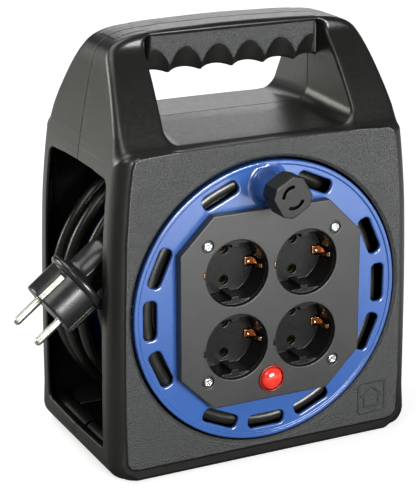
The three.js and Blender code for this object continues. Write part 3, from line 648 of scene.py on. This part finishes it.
# house mark in its frame, relative to its centre: (x, z)
HOUSE = [(-5.0, -6), (5.0, -6), (5.0, 0.8), (6.8, 0.8), (0, 6.8), (-6.8, 0.8), (-5.0, 0.8)]
MARK_X, MARK_Z = 72.4, -73.6
WALL = 2.6
HANDLE_TOP = 154.2
HANDLE_SLOPE = 0.0826     # fall of the handle opening's lower edge per depth from the middle
BAR_HALF_DEPTH = 15.3
BAR_BOTTOM = 128.5
GROOVE_PITCH = 20.5
GROOVE_RADIUS = 14.6
UNDERSIDE_RADIUS = 25.4
JOINT_FRONT, JOINT_REAR = 59.2, 59.4    # y of the facing shell edges


def off_middle(y):
    return np.abs(y - HALF_DEPTH)


def case_hull(x, y, z):
    """outer volume with a flat base"""
    hull = soft_meet(polygon(np.abs(x), z, CASE_FRONT), polygon(off_middle(y), z, CASE_SIDE),
                     lookup(z, EDGE_ROUNDING))
    return soft_meet(hull, -AXIS_Z - z, 0.5)


def with_panels(hull, x, y, z):
    """the hull with a raised panel on each face"""
    inset = HALF_DEPTH - off_middle(y)
    panel = meet(soft_meet(polygon(x, z, PANEL), -inset, 0.9), inset - 7.0)
    return soft_join(meet(hull, PANEL_HEIGHT - inset), panel, 0.3)


def handle_opening(x, y, z):
    depth = off_middle(y)
    half_width = 57.2 + 0.0638 * depth
    bottom = 103.0 - HANDLE_SLOPE * depth
    corner = np.where(z < 128, 9.0, 4.5).astype(f4)
    middle, half_height = (bottom + HANDLE_TOP) / 2, (HANDLE_TOP - bottom) / 2
    return rounded_box(x, z - middle, half_width, half_height, corner)


def grip_bar(x, y, z):
    """grip bar with recessed ends, finger grooves and a wavy underside"""
    depth = off_middle(y)
    half, last = GROOVE_PITCH / 2, GROOVE_PITCH * 2.5
    nearest = np.clip(np.round((x - half) / GROOVE_PITCH) * GROOVE_PITCH + half, -last, last)
    swell = soft_meet(slab(x, 54.2), depth - BAR_HALF_DEPTH, 2.6)
    # the grooves lean with the flank of the bar
    lean = (depth - BAR_HALF_DEPTH) * 0.9212 + (z - 147.0) * -0.3891
    groove = dist(x - nearest, lean - GROOVE_RADIUS) - GROOVE_RADIUS
    bar = join(soft_cut(swell, groove, 0.7), depth - 9.6)
    bar = soft_cut(bar, dist(x - nearest, z - 107.6) - UNDERSIDE_RADIUS, 1.2)
    return meet(bar, BAR_BOTTOM - z, slab(x, 73.0))


def case_cavity(hull, opening, bar, front, x, y, z):
    """hollow inside the walls, less the screw bosses and the front rim round the flange"""
    cavity = cut(meet(hull + WALL, -(opening - WALL)), meet(bar, BAR_BOTTOM - z))
    if front:
        rho = dist(x, z)
        cavity = cut(cavity, meet(rho - 89.1, 86.0 - rho, y - 13.5))
    for boss_x, boss_z in BOSSES:
        cavity = cut(cavity, dist(x - boss_x, z - boss_z) - (4.6 if front else 5.8))
    return cavity


def front_details(shell, x, y, z):
    """round drum opening with a chamfer, and the house mark standing slightly proud"""
    rho = dist(x, z)
    opening = join(meet(rho - 86.9, y - 14.0), (rho + y - 88.7) * DIAGONAL)
    shell = soft_cut(shell, opening, 0.35)
    u, w = x - MARK_X, z - MARK_Z
    border = slab(rounded_box(u, w, 9.3, 9.9, 2.2), 0.5)
    house = slab(polygon(u, w, HOUSE), 0.5)
    return join(shell, meet(join(border, house), slab(y, 0.6)))


def rear_details(shell, x, y, z):
    """round recess in the rear face and the hollow axle, flared at the rear"""
    rho = dist(x, z)
    shell = soft_cut(shell, soft_meet(rho - 70.6, 117.5 - y, 0.5), 0.5)
    sleeve = slab(rho, 1.6, 11.4 + np.maximum(y - 104, 0) * 0.27)
    axle = meet(sleeve, 34.0 - y, y - 117.0)
    axle = join(axle, meet(rho - 12.4, slab(y, 2.0, 36.0)))
    return join(shell, cut(axle, rho - 1.9))


def case_field(front):
    def field(x, y, z):
        hull = case_hull(x, y, z)
        opening = handle_opening(x, y, z)
        bar = grip_bar(x, y, z)
        solid = soft_cut(with_panels(hull, x, y, z), opening, 2.7)
        solid = soft_join(solid, meet(hull, bar), 0.6)
        shell = cut(solid, case_cavity(hull, opening, bar, front, x, y, z))
        shell = (front_details if front else rear_details)(shell, x, y, z)
        shell = soft_cut(shell, meet(polygon(y, z, LEFT_OPENING), x + 88.0), 0.9)
        for boss_x, boss_z in BOSSES:
            radius = dist(x - boss_x, z - boss_z)
            bore = meet(radius - 2.0, slab(y, 16.0, 56.0))
            counterbore = meet(radius - 4.3, 72.0 - y)
            shell = soft_cut(shell, join(bore, counterbore), 0.35)
        # a tongue at the base of the rear shell reaches into a notch in the front shell
        tongue = meet(slab(x, 10.0), 53.3 - y, z + 93.5)
        if front:
            shell = cut(shell, meet(tongue - 0.3, 50.0 - y))
            return soft_meet(shell, y - JOINT_FRONT, 0.28)
        return join(soft_meet(shell, JOINT_REAR - y, 0.28), meet(shell, tongue, y - 61))
    return field


def grain_mask(x, y, z):
    """the panels and the outer faces of the grip bar"""
    depth = off_middle(y)
    panel = np.clip((-polygon(x, z, PANEL) - 0.3) / 1.2, 0, 1) * (HALF_DEPTH - depth < 2.5)
    band = (np.abs(depth - BAR_HALF_DEPTH) < 0.5) & (z > 130) & (np.abs(x) < 54)
    return np.maximum(panel, band * 1.0)


def inside_shade_mask(x, y, z):
    """the inside of the shells, away from their rims, where the colour is painted darker as shade
    """
    width, depth = np.abs(x), off_middle(y)
    rim = ((width > 84.5) & (depth > 44)) | ((z < -91) & (depth > 50))
    inside = (width < lookup(z, SHADED_INSIDE_WIDTH)) & (depth < 57.2)
    inside &= (z > -96.9) & (z < 98.6 - HANDLE_SLOPE * depth)
    return (inside & ~rim).astype(float)


def build_case():
    """the two shells on grids refined at the walls, the mark, the rims and the joint"""
    across = graded(-101.5, (-84, 0.7), (60, 0.95), (62, 0.6), (83.2, 0.5), (101.5, 0.7),
                    scale=COARSE)
    height = graded(-100.5, (-84.6, 0.65), (-62.6, 0.5), (88, 1.15), (112, 0.65), (161.5, 0.85),
                    scale=COARSE)
    front_depth = graded(-1.6, (4.0, 0.42), (16.0, 0.8), (50, 1.0), (57.6, 0.8), (59.8, 0.22),
                         (61, 0.5), scale=COARSE)
    rear_depth = graded(50.5, (58.6, 0.8), (60.8, 0.22), (102, 1.0), (114, 0.8), (120.2, 0.45),
                        scale=COARSE)
    # 'inner' marks where the case colour is painted darker as shade
    masks = {"grain": grain_mask, "inner": inside_shade_mask}
    for tag, depth, target in (("front", front_depth, 110000), ("rear", rear_depth, 90000)):
        shell = field_object("case_" + tag, (across, depth, height), case_field(tag == "front"),
                             target, masks)
        dress(shell, "case", "case", "case_plastic", tag + "_shell")


# ------------------------------------------------------------------ drum flange
# slot directions in degrees from +x towards +z; the knob boss takes the place of one at 90
SLOT_ANGLES = [0, 24, 66, 114, 156, 180, 204, 246, 270, 294, 336]
# knob boss: (y, radius)
KNOB_BOSS = [(-15, 9.0), (-7, 9.4), (-3, 10.0), (-0.6, 10.9), (0.9, 12.2), (2, 12.6)]
FLANGE_FRONT, FLANGE_BACK = 0.9, 3.6    # y of the two faces


def flange_field(x, y, z):
    rho = dist(x, z)
    disc = meet(FLANGE_FRONT - y, y - FLANGE_BACK, rho - 84.6, 55.0 - rho)
    lip = meet(soft_meet(soft_meet(rho - 85.3, -y, 0.8), 82.7 - rho, 0.3), y - 6.0)
    # behind the disc the lip is thinner
    behind = (83.4 - rho) * (y > FLANGE_BACK) - 9.0 * (y <= FLANGE_BACK)
    flange = soft_join(disc, soft_meet(lip, behind, 0.1), 0.35)
    slots = []
    for angle in SLOT_ANGLES:
        u, v = turned(x, z, angle)
        slots.append(rounded_box(u - 74.9, v, 4.3, 12.0, 3.4))
    flange = soft_cut(flange, join(*slots), 0.9)
    knob_rho = dist(x, z - KNOB_Z)
    boss_radius = lookup(y, KNOB_BOSS).astype(f4)
    boss = meet(soft_meet(knob_rho - boss_radius, -14.4 - y, 0.6), y - 2.0)
    flange = soft_join(flange, boss, 1.2)
    flange = cut(flange, meet(knob_rho - 4.8, y + 2.4))
    for screw_x, screw_z in product((-SCREW_PITCH, SCREW_PITCH), repeat=2):
        flange = cut(flange, dist(x - screw_x, z - screw_z) - 2.0)
    return flange


def build_flange():
    axes = box_axes((-86.3, -15.4, -86.3), (86.3, 7.0, 86.3), 0.55)
    flange = field_object("drum_flange_front", axes, flange_field, 80000)
    dress(flange, "blue", "drum", "blue_plastic", "drum_front_flange")


# ------------------------------------------------------------------ socket plate
SOCKET_FLOOR = 12.5


def plate_field(x, y, z):
    ax, az = np.abs(x), np.abs(z)
    outline = meet(ax - 58.7, az - 58.7, (ax + az - 96.2) * DIAGONAL)
    plate = meet(soft_meet(outline, -5.0 - y, 0.55), y - 0.6)
    plate = cut(plate, meet(outline + 2.4, -2.2 - y))
    # distances from the nearest socket centre
    dx = np.abs(ax - SOCKET_PITCH)
    socket_z = az - SOCKET_PITCH
    dz = np.abs(socket_z)
    rho = dist(ax - SOCKET_PITCH, socket_z)
    plate = join(plate, meet(rho - 21.6 + (y + 4) * 0.035, y - 14.9, -4.0 - y))
    recess = meet(rho - (19.4 - 0.05 * (y + 3)), dz - (16.8 - 0.03 * (y + 3)),
                  y - SOCKET_FLOOR)
    rib = meet(dx - 2.6, 14.6 - dz)
    mouth = meet(rho - 20.0 + np.maximum(y + 4.0, 0) * 0.3, y + 2.6)
    plate = soft_cut(plate, join(soft_cut(recess, rib, 0.4), mouth), 0.4)
    pin_hole = meet(dist(dx, dz - 9.5) - 2.75, y - 17.0)
    plate = soft_cut(plate, pin_hole, 0.4)
    plate = cut(plate, meet(slab(dx, 2.2, 17.3), dz - 3.3, -0.5 - y))
    # small rim notch on the left of each socket, where the end of the earth strip shows
    side_x = np.where(x > 0, x - SOCKET_PITCH, x + SOCKET_PITCH)
    plate = cut(plate, meet(slab(side_x, 0.95, -20.4), slab(socket_z, 2.0, 1.2)))
    # screw sockets: sleeve, counterbore, bore
    screw_rho = dist(ax - SCREW_PITCH, az - SCREW_PITCH)
    plate = join(plate, meet(screw_rho - 4.2, y - 0.6, -4.0 - y))
    plate = soft_cut(plate, meet(screw_rho - 3.7, y + 3.7), 0.25)
    plate = cut(plate, screw_rho - 1.75)
    return soft_cut(plate, dist(x, z - BUTTON_Z) - 7.8, 0.3)


def well_gloss_and_shade_mask(x, y, z):
    # socket wells, made glossier and painted darker as shade
    rho = dist(np.abs(x) - SOCKET_PITCH, np.abs(z) - SOCKET_PITCH)
    return ((rho < 20.6) & (y > -4.6)).astype(float)


def build_plate():
    across = graded(-59.6, (59.6, 0.46), scale=COARSE)
    depth = graded(-6.0, (-3.4, 0.24), (10.8, 0.62), (13.4, 0.24), (16.2, 0.6), scale=COARSE)
    plate = field_object("socket_plate_body", (across, depth, across), plate_field, 100000,
                         {"gloss": well_gloss_and_shade_mask})
    dress(plate, "plate", "drum", "plate_plastic", "socket_plate")


# ------------------------------------------------------------------ plate screws
# (side in x, side in z, turn of the head in degrees)
PLATE_SCREWS = [(1, 1, 18), (-1, 1, 52), (-1, -1, -12), (1, -1, 33)]


def cross_shape(u, v, half_width, half_length):
    return join(meet(slab(u, half_width), slab(v, half_length)),
                meet(slab(v, half_width), slab(u, half_length)))


def screw_field(x, y, z):
    rho = dist(x, z)
    head = meet(soft_meet(rho - 2.95, -5.5 - y, 1.1), y + 3.85)
    shank = meet(rho - 1.4, y - 19.0, -5.0 - y)
    screw = soft_cut(join(head, shank), meet(cross_shape(x, z, 0.42, 1.75), y + 4.5), 0.12)
    fine_cross = cross_shape((x + z) * DIAGONAL, (x - z) * DIAGONAL, 0.16, 1.5)
    return cut(screw, meet(fine_cross, y + 5.1))


def build_plate_screws():
    """one screw meshed on the drum axis, then turned and copied to the four places"""
    axes = box_axes((-3.4, -6.0, -3.4), (3.4, 19.6, 3.4), 0.2)
    pattern = field_object("plate_screw_head", axes, screw_field)
    for i, (side_x, side_z, turn) in enumerate(PLATE_SCREWS, 1):
        x, z = side_x * SCREW_PITCH, side_z * SCREW_PITCH
        mesh = pattern.data.copy()
        mesh.transform(Matrix.Translation((0, 0, -AXIS_Z / 1000)))
        mesh.transform(Matrix.Rotation(math.radians(turn), 4, "Y"))
        mesh.transform(Matrix.Translation((x / 1000, 0, (AXIS_Z + z) / 1000)))
        screw = linked(f"plate_screw_{i}_fine", mesh)
        dress(screw, "zinc", "drum", "steel", f"plate_screw_{i}")
    bpy.data.objects.remove(pattern)


# ------------------------------------------------------------------ reset button and collar
# profiles: (radius, distance in front of the panel plane)
BUTTON = [(0, 9.0), (0.9, 8.97), (1.8, 8.88), (2.7, 8.72), (3.5, 8.5), (4.3, 8.18), (5.0, 7.8),
          (5.6, 7.35), (6.1, 6.85), (6.5, 6.3), (6.8, 5.75), (6.98, 5.2), (7.05, 4.6),
          (5.3, 4.6), (5.3, -2.5), (0, -2.5)]
COLLAR = [(7.35, 5.15), (8.5, 5.15), (8.5, 5.6), (8.42, 5.85), (8.25, 6.05), (8.0, 6.16),
          (7.7, 6.2), (7.45, 6.12), (7.35, 5.95), (7.35, 5.15)]


def build_button():
    place = (0, 0, BUTTON_Z)
    cap = lathe_object("reset_button_cap", BUTTON, 48, place, sharp_angle=50)
    dress(cap, "red", "button", "red_plastic", "reset_button")
    collar = lathe_object("button_collar_ring", COLLAR, 48, place, sharp_angle=50)
    dress(collar, "dark red", "drum", "dark_red_plastic", "button_collar")


# ------------------------------------------------------------------ crank knob
KNOB_HALF = 10.85         # half width across the flats at the front
KNOB_TURN = 30            # degrees
GROOVE_MIDDLES = (133.0, 293.0)     # directions of the two curved face grooves, degrees
GROOVE_SPAN = 41          # half length of a groove, degrees
GROOVE_RING = 6.25        # radius the grooves follow
GROOVE_HALF_WIDTH = 0.9


def knob_field(x, y, z):
    """square knob with cut corners, a round recess and two curved grooves in its face"""
    z = z - KNOB_Z
    u, v = turned(x, z, KNOB_TURN)
    au, av = np.abs(u), np.abs(v)
    half = KNOB_HALF - np.maximum(y + 27.5, 0) * 0.012
    outline = meet(soft_meet(au - half, av - half, 0.2),
                   (au + av - (2 * KNOB_HALF - 4.75)) * DIAGONAL)
    knob = soft_meet(soft_meet(outline, -29.0 - y, 0.75), y + 14.9, 0.5)
    rho = dist(x, z)
    knob = cut(knob, meet(rho - 5.0, -27.3 - y))
    direction = np.arctan2(z, x)
    span = math.radians(GROOVE_SPAN)
    for middle in GROOVE_MIDDLES:
        off = direction - math.radians(middle)
        off = np.arctan2(np.sin(off), np.cos(off))
        end = dist(rho * np.cos(off) - GROOVE_RING * math.cos(span),
                   np.abs(rho * np.sin(off)) - GROOVE_RING * math.sin(span))
        groove = np.where(np.abs(off) < span, slab(rho, GROOVE_HALF_WIDTH, GROOVE_RING),
                          end - GROOVE_HALF_WIDTH)
        knob = soft_cut(knob, meet(groove, y + 22.0), 0.2)
    return knob


def build_knob():
    axes = box_axes((-16, -30.0, 55.0), (16, -14.0, 87.0), 0.34)
    knob = field_object("crank_knob_body", axes, knob_field)
    dress(knob, "knob", "knob", "knob_plastic", "crank_knob")


# ------------------------------------------------------------------ wound cable
CABLE_RADIUS = 4.2
MAX_LOOP_RADIUS = 91.0
# loops: (depth, centre x, centre z, radius)
# outer layer; the rear ones hang loose and low
OUTER_LOOPS = [(8.3, 0, 0, 75.6), (16.9, 0, 0, 75.4), (25.6, 0, 0, 72.6), (34.3, 0, 0, 69.4),
               (43.0, 0, 0, 69.8), (52.2, 0, -1, 74.0), (61.4, 0, -4, 74.6), (70.4, 0, -8, 75.4),
               (79.2, -1, -14, 84.0), (87.4, 0, 0, 63.6), (95.8, 0, 0, 63.6)]
INNER_LOOPS = [(56.8, 0, -1, 64.6), (65.6, 0, -2, 65.0), (74.6, 0, -5, 66.0)]
# the loosest turns stay with the case; the last row only ends the second turn
LOOSE_LOOPS = [(87.9, -8.1, -11, 83.4), (96.3, -11.1, -8.9, 83.2), (96.4, -11.1, -8.9, 83.2)]


def middle_loops():
    """loops lying under and between neighbours of the outer layer, where there is room"""
    between = []
    for a, b in zip(OUTER_LOOPS[:-1], OUTER_LOOPS[1:]):
        y, cx, cz, radius = ((p + q) / 2 for p, q in zip(a, b))
        if not 28 < y < 50 and y < 76:
            between.append((y, cx, cz, radius - 7.2 if y > 24 else 68.3))
    return between


def loop_reach(cx, cz, radius, angle, loose):
    """distance from the drum axis to an off-centre loop, kept within its limits"""
    c, s = math.cos(angle), math.sin(angle)
    across = cx * s - cz * c
    reach = cx * c + cz * s + math.sqrt(max(radius * radius - across * across, 1))
    if not loose:
        return min(reach, MAX_LOOP_RADIUS)
    reach = max(reach, 72.8)
    # loose turns are flattened along the bottom
    return min(reach, 91.2 / -s) if s < -0.5 else reach


def wound(name, loops, steps, wobble, sides, loose=False):
    """cable laid in successive turns, moving over to the next turn on the right-hand side"""
    path = []
    start = math.radians(75)
    turns = list(zip(loops, loops[1:]))
    if not loose:
        turns.append((loops[-1], loops[-1]))
    for i, (here, following) in enumerate(turns):
        last = i == len(loops) - 1
        for j in range(steps + (1 if last else 0)):
            t = j / steps
            shift = min(max((t - 0.62) / 0.34, 0), 1)
            shift = shift * shift * (3 - 2 * shift)
            angle = 2 * math.pi * t + start
            y, cx, cz, radius = (a + (b - a) * shift for a, b in zip(here, following))
            reach = loop_reach(cx, cz, radius, angle, loose)
            reach -= abs(wobble * math.sin(2 * angle + i * 1.9)
                         + wobble * 0.5 * math.sin(3 * angle + i))
            y += wobble * 0.4 * math.sin(2 * angle + i * 2.3)
            path.append((reach * math.cos(angle), y, reach * math.sin(angle)))
    return tube(name, path, CABLE_RADIUS, sides)


def build_cable():
    steps = 110
    few = steps * 2 // 3
    outer = wound("cable_turns_outer", OUTER_LOOPS, steps, wobble=0.35, sides=14)
    middle = wound("cable_turns_middle", middle_loops(), few, wobble=0.15, sides=10)
    inner = wound("cable_turns_inner", INNER_LOOPS, few, wobble=0.1, sides=10)
    dress(outer, "rubber", "drum", "cable_rubber", "cable_coil")
    dress(middle, "rubber", "drum", "cable_rubber")
    dress(inner, "rubber", "drum", "cable_rubber")
    loose = wound("cable_turns_loose", LOOSE_LOOPS, steps, wobble=0.0, sides=14, loose=True)
    dress(loose, "rubber", "case", "cable_rubber")


# ------------------------------------------------------------------ supply plug
# Plug coordinates: u across the pins' plane, v square to it, w along the pins from the face.
PLUG_AXIS = np.array([-0.7924, 0.0, -0.61])
PLUG_AXIS /= np.linalg.norm(PLUG_AXIS)
PLUG_ROLL = math.radians(57.6)
level_side = np.array([-PLUG_AXIS[2], 0.0, PLUG_AXIS[0]])
PLUG_U = (level_side * math.cos(PLUG_ROLL)
          + np.cross(PLUG_AXIS, level_side) * math.sin(PLUG_ROLL))
PLUG_V = np.cross(PLUG_AXIS, PLUG_U)
PLUG_FACE = np.array([-122.5, 36.0, 3.0])
PIN_OFFSET = 9.5
EARTH_OFFSET = 17.25
# body: (radius, w)
PLUG_OUTLINE = (
    [(-5, -52.3), (5.2, -52.3)]
    + spline([(5.2, -52.3), (8.6, -51.5), (11.0, -49.6), (12.5, -46.6), (13.05, -42.5),
              (13.1, -38), (12.95, -33), (12.95, -29), (13.4, -27.4), (14.8, -26.3),
              (17.0, -25.6)], 4)[1:]
    + arc(18.55, -23.1, 2.3, -80, 80, 8)
    + [(18.3, -20.7), (18.2, -1.2), (17.9, -0.4), (17.0, 0.0), (-5, 0.0)])
# pin: (radius, w)
PIN = [(0, -12.6), (2.4, -12.6), (2.4, 16.2), (2.32, 17.1), (2.1, 17.9), (1.7, 18.5),
       (1.1, 18.85), (0.5, 18.98), (0, 19.0)]


def plug_field(u, v, w):
    rho = dist(u, v)
    au, av = np.abs(u), np.abs(v)
    plug = polygon(rho, w, PLUG_OUTLINE) - 0.05
    # flats on both sides of the grip, ending in a curved step behind the flange
    flat = meet(np.where(u > 0, 7.3, 9.0).astype(f4) - au,
                rounded_box(v, w + 62.0, 12.4, 36.6, 6.0))
    plug = soft_cut(plug, meet(flat, w + 25.2), 0.45)
    # grooves along the rim
    plug = soft_cut(plug, meet(16.4 - au, av - 2.7, -20.0 - w), 0.3)
    plug = soft_cut(plug, meet(16.5 - av, au - 2.1, -18.6 - w), 0.3)
    plug = cut(plug, meet(dist(au - PIN_OFFSET, v) - 2.65, -13.0 - w))
    return cut(plug, meet(rho - 5.0, w + 40.5))


def earth_strip_field(side):
    def field(u, v, w):
        section = soft_meet(slab(u, 1.7), slab(v, 0.5, side * EARTH_OFFSET), 0.3)
        return soft_meet(section, slab(w, 8.9, -9.4), 0.3)
    return field


def relief_field(u, v, w):
    """ribbed sleeve round the cable behind the body"""
    rho = dist(u, v)
    rib = 5.25 + 0.45 * np.cos((w + 61.0) * 2 * math.pi / 2.4)
    radius = np.where(w < -52.8, np.clip(rib, 4.7, 5.7), 4.6)
    sleeve = meet(rho - radius, -62.4 - w, w + 42.0)
    return cut(sleeve, meet(rho - 4.0, w + 54.5))


def plug_piece(name, low, high, spacing, field):
    points, quads = field_mesh(box_axes(low, high, spacing), field)
    points = (PLUG_FACE + points[:, :1] * PLUG_U + points[:, 1:2] * PLUG_V
              + points[:, 2:] * PLUG_AXIS)
    return quad_object(name, points, quads)


def build_plug():
    body = plug_piece("plug_body_moulding", (-22, -22, -53.5), (22, 22, 1.2),
                      0.42, plug_field)
    dress(thin_out(body, 60000), "plug", "plug", "plug_plastic", "plug_body")
    for side, tag in ((-1, "a"), (1, "b")):
        v = side * EARTH_OFFSET
        strip = plug_piece("plug_earth_strip_" + tag, (-2.2, v - 1.2, -19.2),
                           (2.2, v + 1.2, 0.2), 0.3, earth_strip_field(side))
        dress(strip, "steel", "plug", "copper", "plug_earth_" + tag)
    relief = plug_piece("plug_strain_relief_ribs", (-6.6, -6.6, -63.2), (6.6, 6.6, -41),
                        0.3, relief_field)
    dress(relief, "rubber", "plug", "cable_rubber", "plug_strain_relief")
    path = [PLUG_FACE - PLUG_AXIS * (55.2 + 24.8 * i / 14) for i in range(15)]
    tail = tube("plug_cable_run", path, radius=3.7, sides=20)
    dress(tail, "rubber", "plug", "cable_rubber", "plug_cable_tail")
    for side, tag in ((-1, "a"), (1, "b")):
        foot = PLUG_FACE + PLUG_U * side * PIN_OFFSET
        pin = lathe_object(f"plug_pin_{tag}_turned", PIN, 28, tuple(foot), sharp_angle=40,
                           axis=tuple(PLUG_AXIS), up=(0, 1, 0))
        dress(pin, "steel", "plug", "steel", "plug_pin_" + tag)


# ------------------------------------------------------------------ earth contacts
# centre lines seen from above, on the left of a socket: (x from its centre, y)
CONTACT_ARM = [(-18.1, 15.2), (-18.2, 9.5), (-17.6, 5.4), (-17.0, 3.6), (-17.6, 2.2),
               (-18.7, 0.8)]
CONTACT_PAD = [(-18.1, 12.1), (-17.4, 11.7), (-13.2, 11.7)]
# (y, half width of the arm)
ARM_WIDTH = [(0, 1.25), (4.2, 1.35), (6.5, 2.5), (16, 2.5)]


def ribbon(u, v, points, half_thickness):
    """distance to a thick open line"""
    pieces = []
    for (ax, ay), (bx, by) in zip(points[:-1], points[1:]):
        ex, ey = bx - ax, by - ay
        t = np.clip(((u - ax) * ex + (v - ay) * ey) / (ex * ex + ey * ey), 0, 1)
        pieces.append(dist(u - ax - ex * t, v - ay - ey * t))
    return join(*pieces) - half_thickness


def contact_field(x, y, z):
    side = -np.abs(x)
    half_width = lookup(y, ARM_WIDTH).astype(f4)
    arm = soft_meet(ribbon(side, y, CONTACT_ARM, 0.38), np.abs(z) - half_width, 0.2)
    # square pad beside the arm, with a pressed dimple
    pad = soft_meet(ribbon(side, y, CONTACT_PAD, 0.36), slab(z, 2.5, 0.5), 0.2)
    pad = soft_meet(pad, 12.9 - np.abs(x), 0.2)
    dimple = np.sqrt((np.abs(x) - 15.2) ** 2 + (z - 0.5) ** 2 + (y - 10.6) ** 2) - 1.15
    back = meet(slab(y, 0.38, 15.3), slab(z, 2.5), slab(x, 18.2))
    # end of the strip, carried forward to the rim on the left
    tip = meet(slab(x, 0.4, -20.5), slab(z, 1.5, 1.2), slab(y, 3.6, -0.7))
    link = meet(slab(x, 1.3, -19.6), slab(z, 1.2, 1.2), slab(y, 0.5, 2.2))
    return join(arm, soft_cut(pad, dimple, 0.1), back, tip, link)


def build_contacts():
    axes = (graded(-21.6, (-12.4, 0.26), (12.4, 1.0), (19.4, 0.26)),
            graded(-5.0, (16.4, 0.27)), graded(-3.6, (3.6, 0.27)))
    points, quads = field_mesh(axes, contact_field)
    for tag, side_x, side_z in (("tl", -1, 1), ("tr", 1, 1), ("bl", -1, -1), ("br", 1, -1)):
        shift = np.array([side_x * SOCKET_PITCH, 0, side_z * SOCKET_PITCH])
        contact = quad_object(f"earth_contact_{tag}_bent", points + shift, quads)
        dress(thin_out(contact, 14000), "copper", "drum", "copper", "earth_contact_" + tag)


# ------------------------------------------------------------------ CAD nodes that keep their shape
KEPT = {
    # the busbars take the metal painted near black as shade
    "brass": ["line_busbar", "neutral_busbar"],
    "core": ["drum_core", "contact_cover", "thermal_cutout"],
    "blue": ["drum_rear_flange"],
    "zinc": ([f"case_screw_{i}" for i in range(1, 7)]
             + [f"rear_flange_screw_{i}" for i in range(1, 4)]
             + ["hub_washer", "hub_screw", "knob_pin"]),
}


def finish_kept_nodes():
    for material, names in KEPT.items():
        for name in names:
            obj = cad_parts[name]
            obj.data.materials.clear()
            obj.data.materials.append(MATERIALS[material])
            bevel = obj.modifiers.new("edge", "BEVEL")
            bevel.width = 0.00012
            bevel.segments = 2
            bevel.limit_method = "ANGLE"
            bevel.angle_limit = math.radians(40)
            shade_smooth(obj.data)
            obj.data.set_sharp_from_angle(angle=math.radians(38))


# ------------------------------------------------------------------ floor, light and camera
def floor_material():
    """white sweep; for every ray but the camera's it is painted near black close to the object and
    around a spot at its left front, as painted shade, and white further out
    """
    s = Shader("studio_floor")
    position = s.node("NewGeometry").outputs["Position"]

    def spot(x, y, near, far):
        gap = s.node("VectorMath", {0: position, 1: (x, y, 0)}, operation="DISTANCE")
        return s.ramp(gap.outputs["Value"], source_low=near, source_high=far)

    # painted shade: near black close to the object and around a spot at its left front, seen only
    # in reflections and bounce light
    painted_shade_fade = s.math("MULTIPLY", spot(x=0.02, y=-0.08, near=0.08, far=0.46),
                     spot(x=-0.62, y=-0.38, near=0.30, far=0.62))
    reflected_with_painted_shade = s.mix(painted_shade_fade, a=(0.035, 0.037, 0.04), b=(0.86, 0.86, 0.85))
    seen = s.node("LightPath").outputs["Is Camera Ray"]
    colour = s.mix(seen, a=reflected_with_painted_shade, b=(0.55, 0.55, 0.55))
    return s.finish({
        "Base Color": colour, "Roughness": s.ramp(s.noise(scale=3.0), low=0.75, high=0.85),
        "Specular IOR Level": 0.1, "Emission Color": (1, 1, 1),
        "Emission Strength": s.math("MULTIPLY", seen, 0.64)})


def build_floor():
    bpy.ops.mesh.primitive_plane_add(size=12, location=(0, 0, -0.0004))
    floor = bpy.context.object
    floor.name = "studio_floor"
    floor.data.materials.append(floor_material())


def build_world():
    world = bpy.data.worlds.new("studio_world")
    bpy.context.scene.world = world
    world.use_nodes = True
    background = world.node_tree.nodes["Background"]
    background.inputs["Color"].default_value = (0.9, 0.95, 1.0, 1)
    background.inputs["Strength"].default_value = 0.10


def softbox(name, place, aim, size, power, colour=(1, 1, 1)):
    light = bpy.data.lights.new(name, "AREA")
    light.shape = "RECTANGLE"
    light.size, light.size_y = size
    light.energy = power
    light.color = colour
    obj = linked(name, light)
    obj.location = place
    obj.rotation_mode = "QUATERNION"
    obj.rotation_quaternion = (Vector(aim) - Vector(place)).to_track_quat("-Z", "Y")


def build_lights():
    softbox("overhead_softbox", place=(-0.5, 0.45, 1.9), aim=(0, 0.1, 0), size=(1.7, 1.25),
            power=21)
    softbox("front_softbox", place=(0.20, -1.25, 0.32), aim=(0.0, 0, 0.14), size=(0.62, 0.38),
            power=24)
    softbox("key_softbox", place=(-0.95, -0.80, 1.1), aim=(0.0, 0, 0.12), size=(0.60, 0.60),
            power=5.0, colour=(1.0, 0.98, 0.93))
    softbox("left_softbox", place=(-1.5, 1.3, 0.75), aim=(0, 0, 0.12), size=(0.9, 0.9),
            power=21, colour=(0.98, 1.0, 0.88))
    softbox("back_softbox", place=(1.0, 1.9, 0.85), aim=(0, 0, 0.15), size=(1.6, 1.0), power=8)


CAMERA_PLACE = (-0.4489, -0.8916, 0.4450)
# around the vertical from the front, above level, and about the view axis
CAMERA_TURN, CAMERA_RISE, CAMERA_ROLL = (math.radians(a) for a in (-26.22, 18.207, -0.122))


def build_camera():
    data = bpy.data.cameras.new("camera")
    data.sensor_width = 36.0
    data.sensor_fit = "AUTO"
    data.lens = 127.196
    data.clip_start, data.clip_end = 0.05, 50
    camera = bpy.data.objects.new("camera", data)
    flat = math.cos(CAMERA_RISE)
    back = Vector((math.sin(CAMERA_TURN) * flat, -math.cos(CAMERA_TURN) * flat,
                   math.sin(CAMERA_RISE)))
    level = Vector((math.cos(CAMERA_TURN), math.sin(CAMERA_TURN), 0))
    upright = back.cross(level)
    right = level * math.cos(CAMERA_ROLL) + upright * math.sin(CAMERA_ROLL)
    up = -level * math.sin(CAMERA_ROLL) + upright * math.cos(CAMERA_ROLL)
    rows = [tuple(row) for row in zip(right, up, back, CAMERA_PLACE)]
    camera.matrix_world = Matrix((*rows, (0, 0, 0, 1)))
    bpy.context.scene.collection.objects.link(camera)
    bpy.context.scene.camera = camera


build_case()
build_flange()
build_plate()
build_plate_screws()
build_button()
build_knob()
build_cable()
build_plug()
build_contacts()
finish_kept_nodes()
build_floor()
build_world()
build_lights()
build_camera()
bpy.context.scene.view_settings.view_transform = "Standard"
bpy.context.scene.view_settings.look = "None"
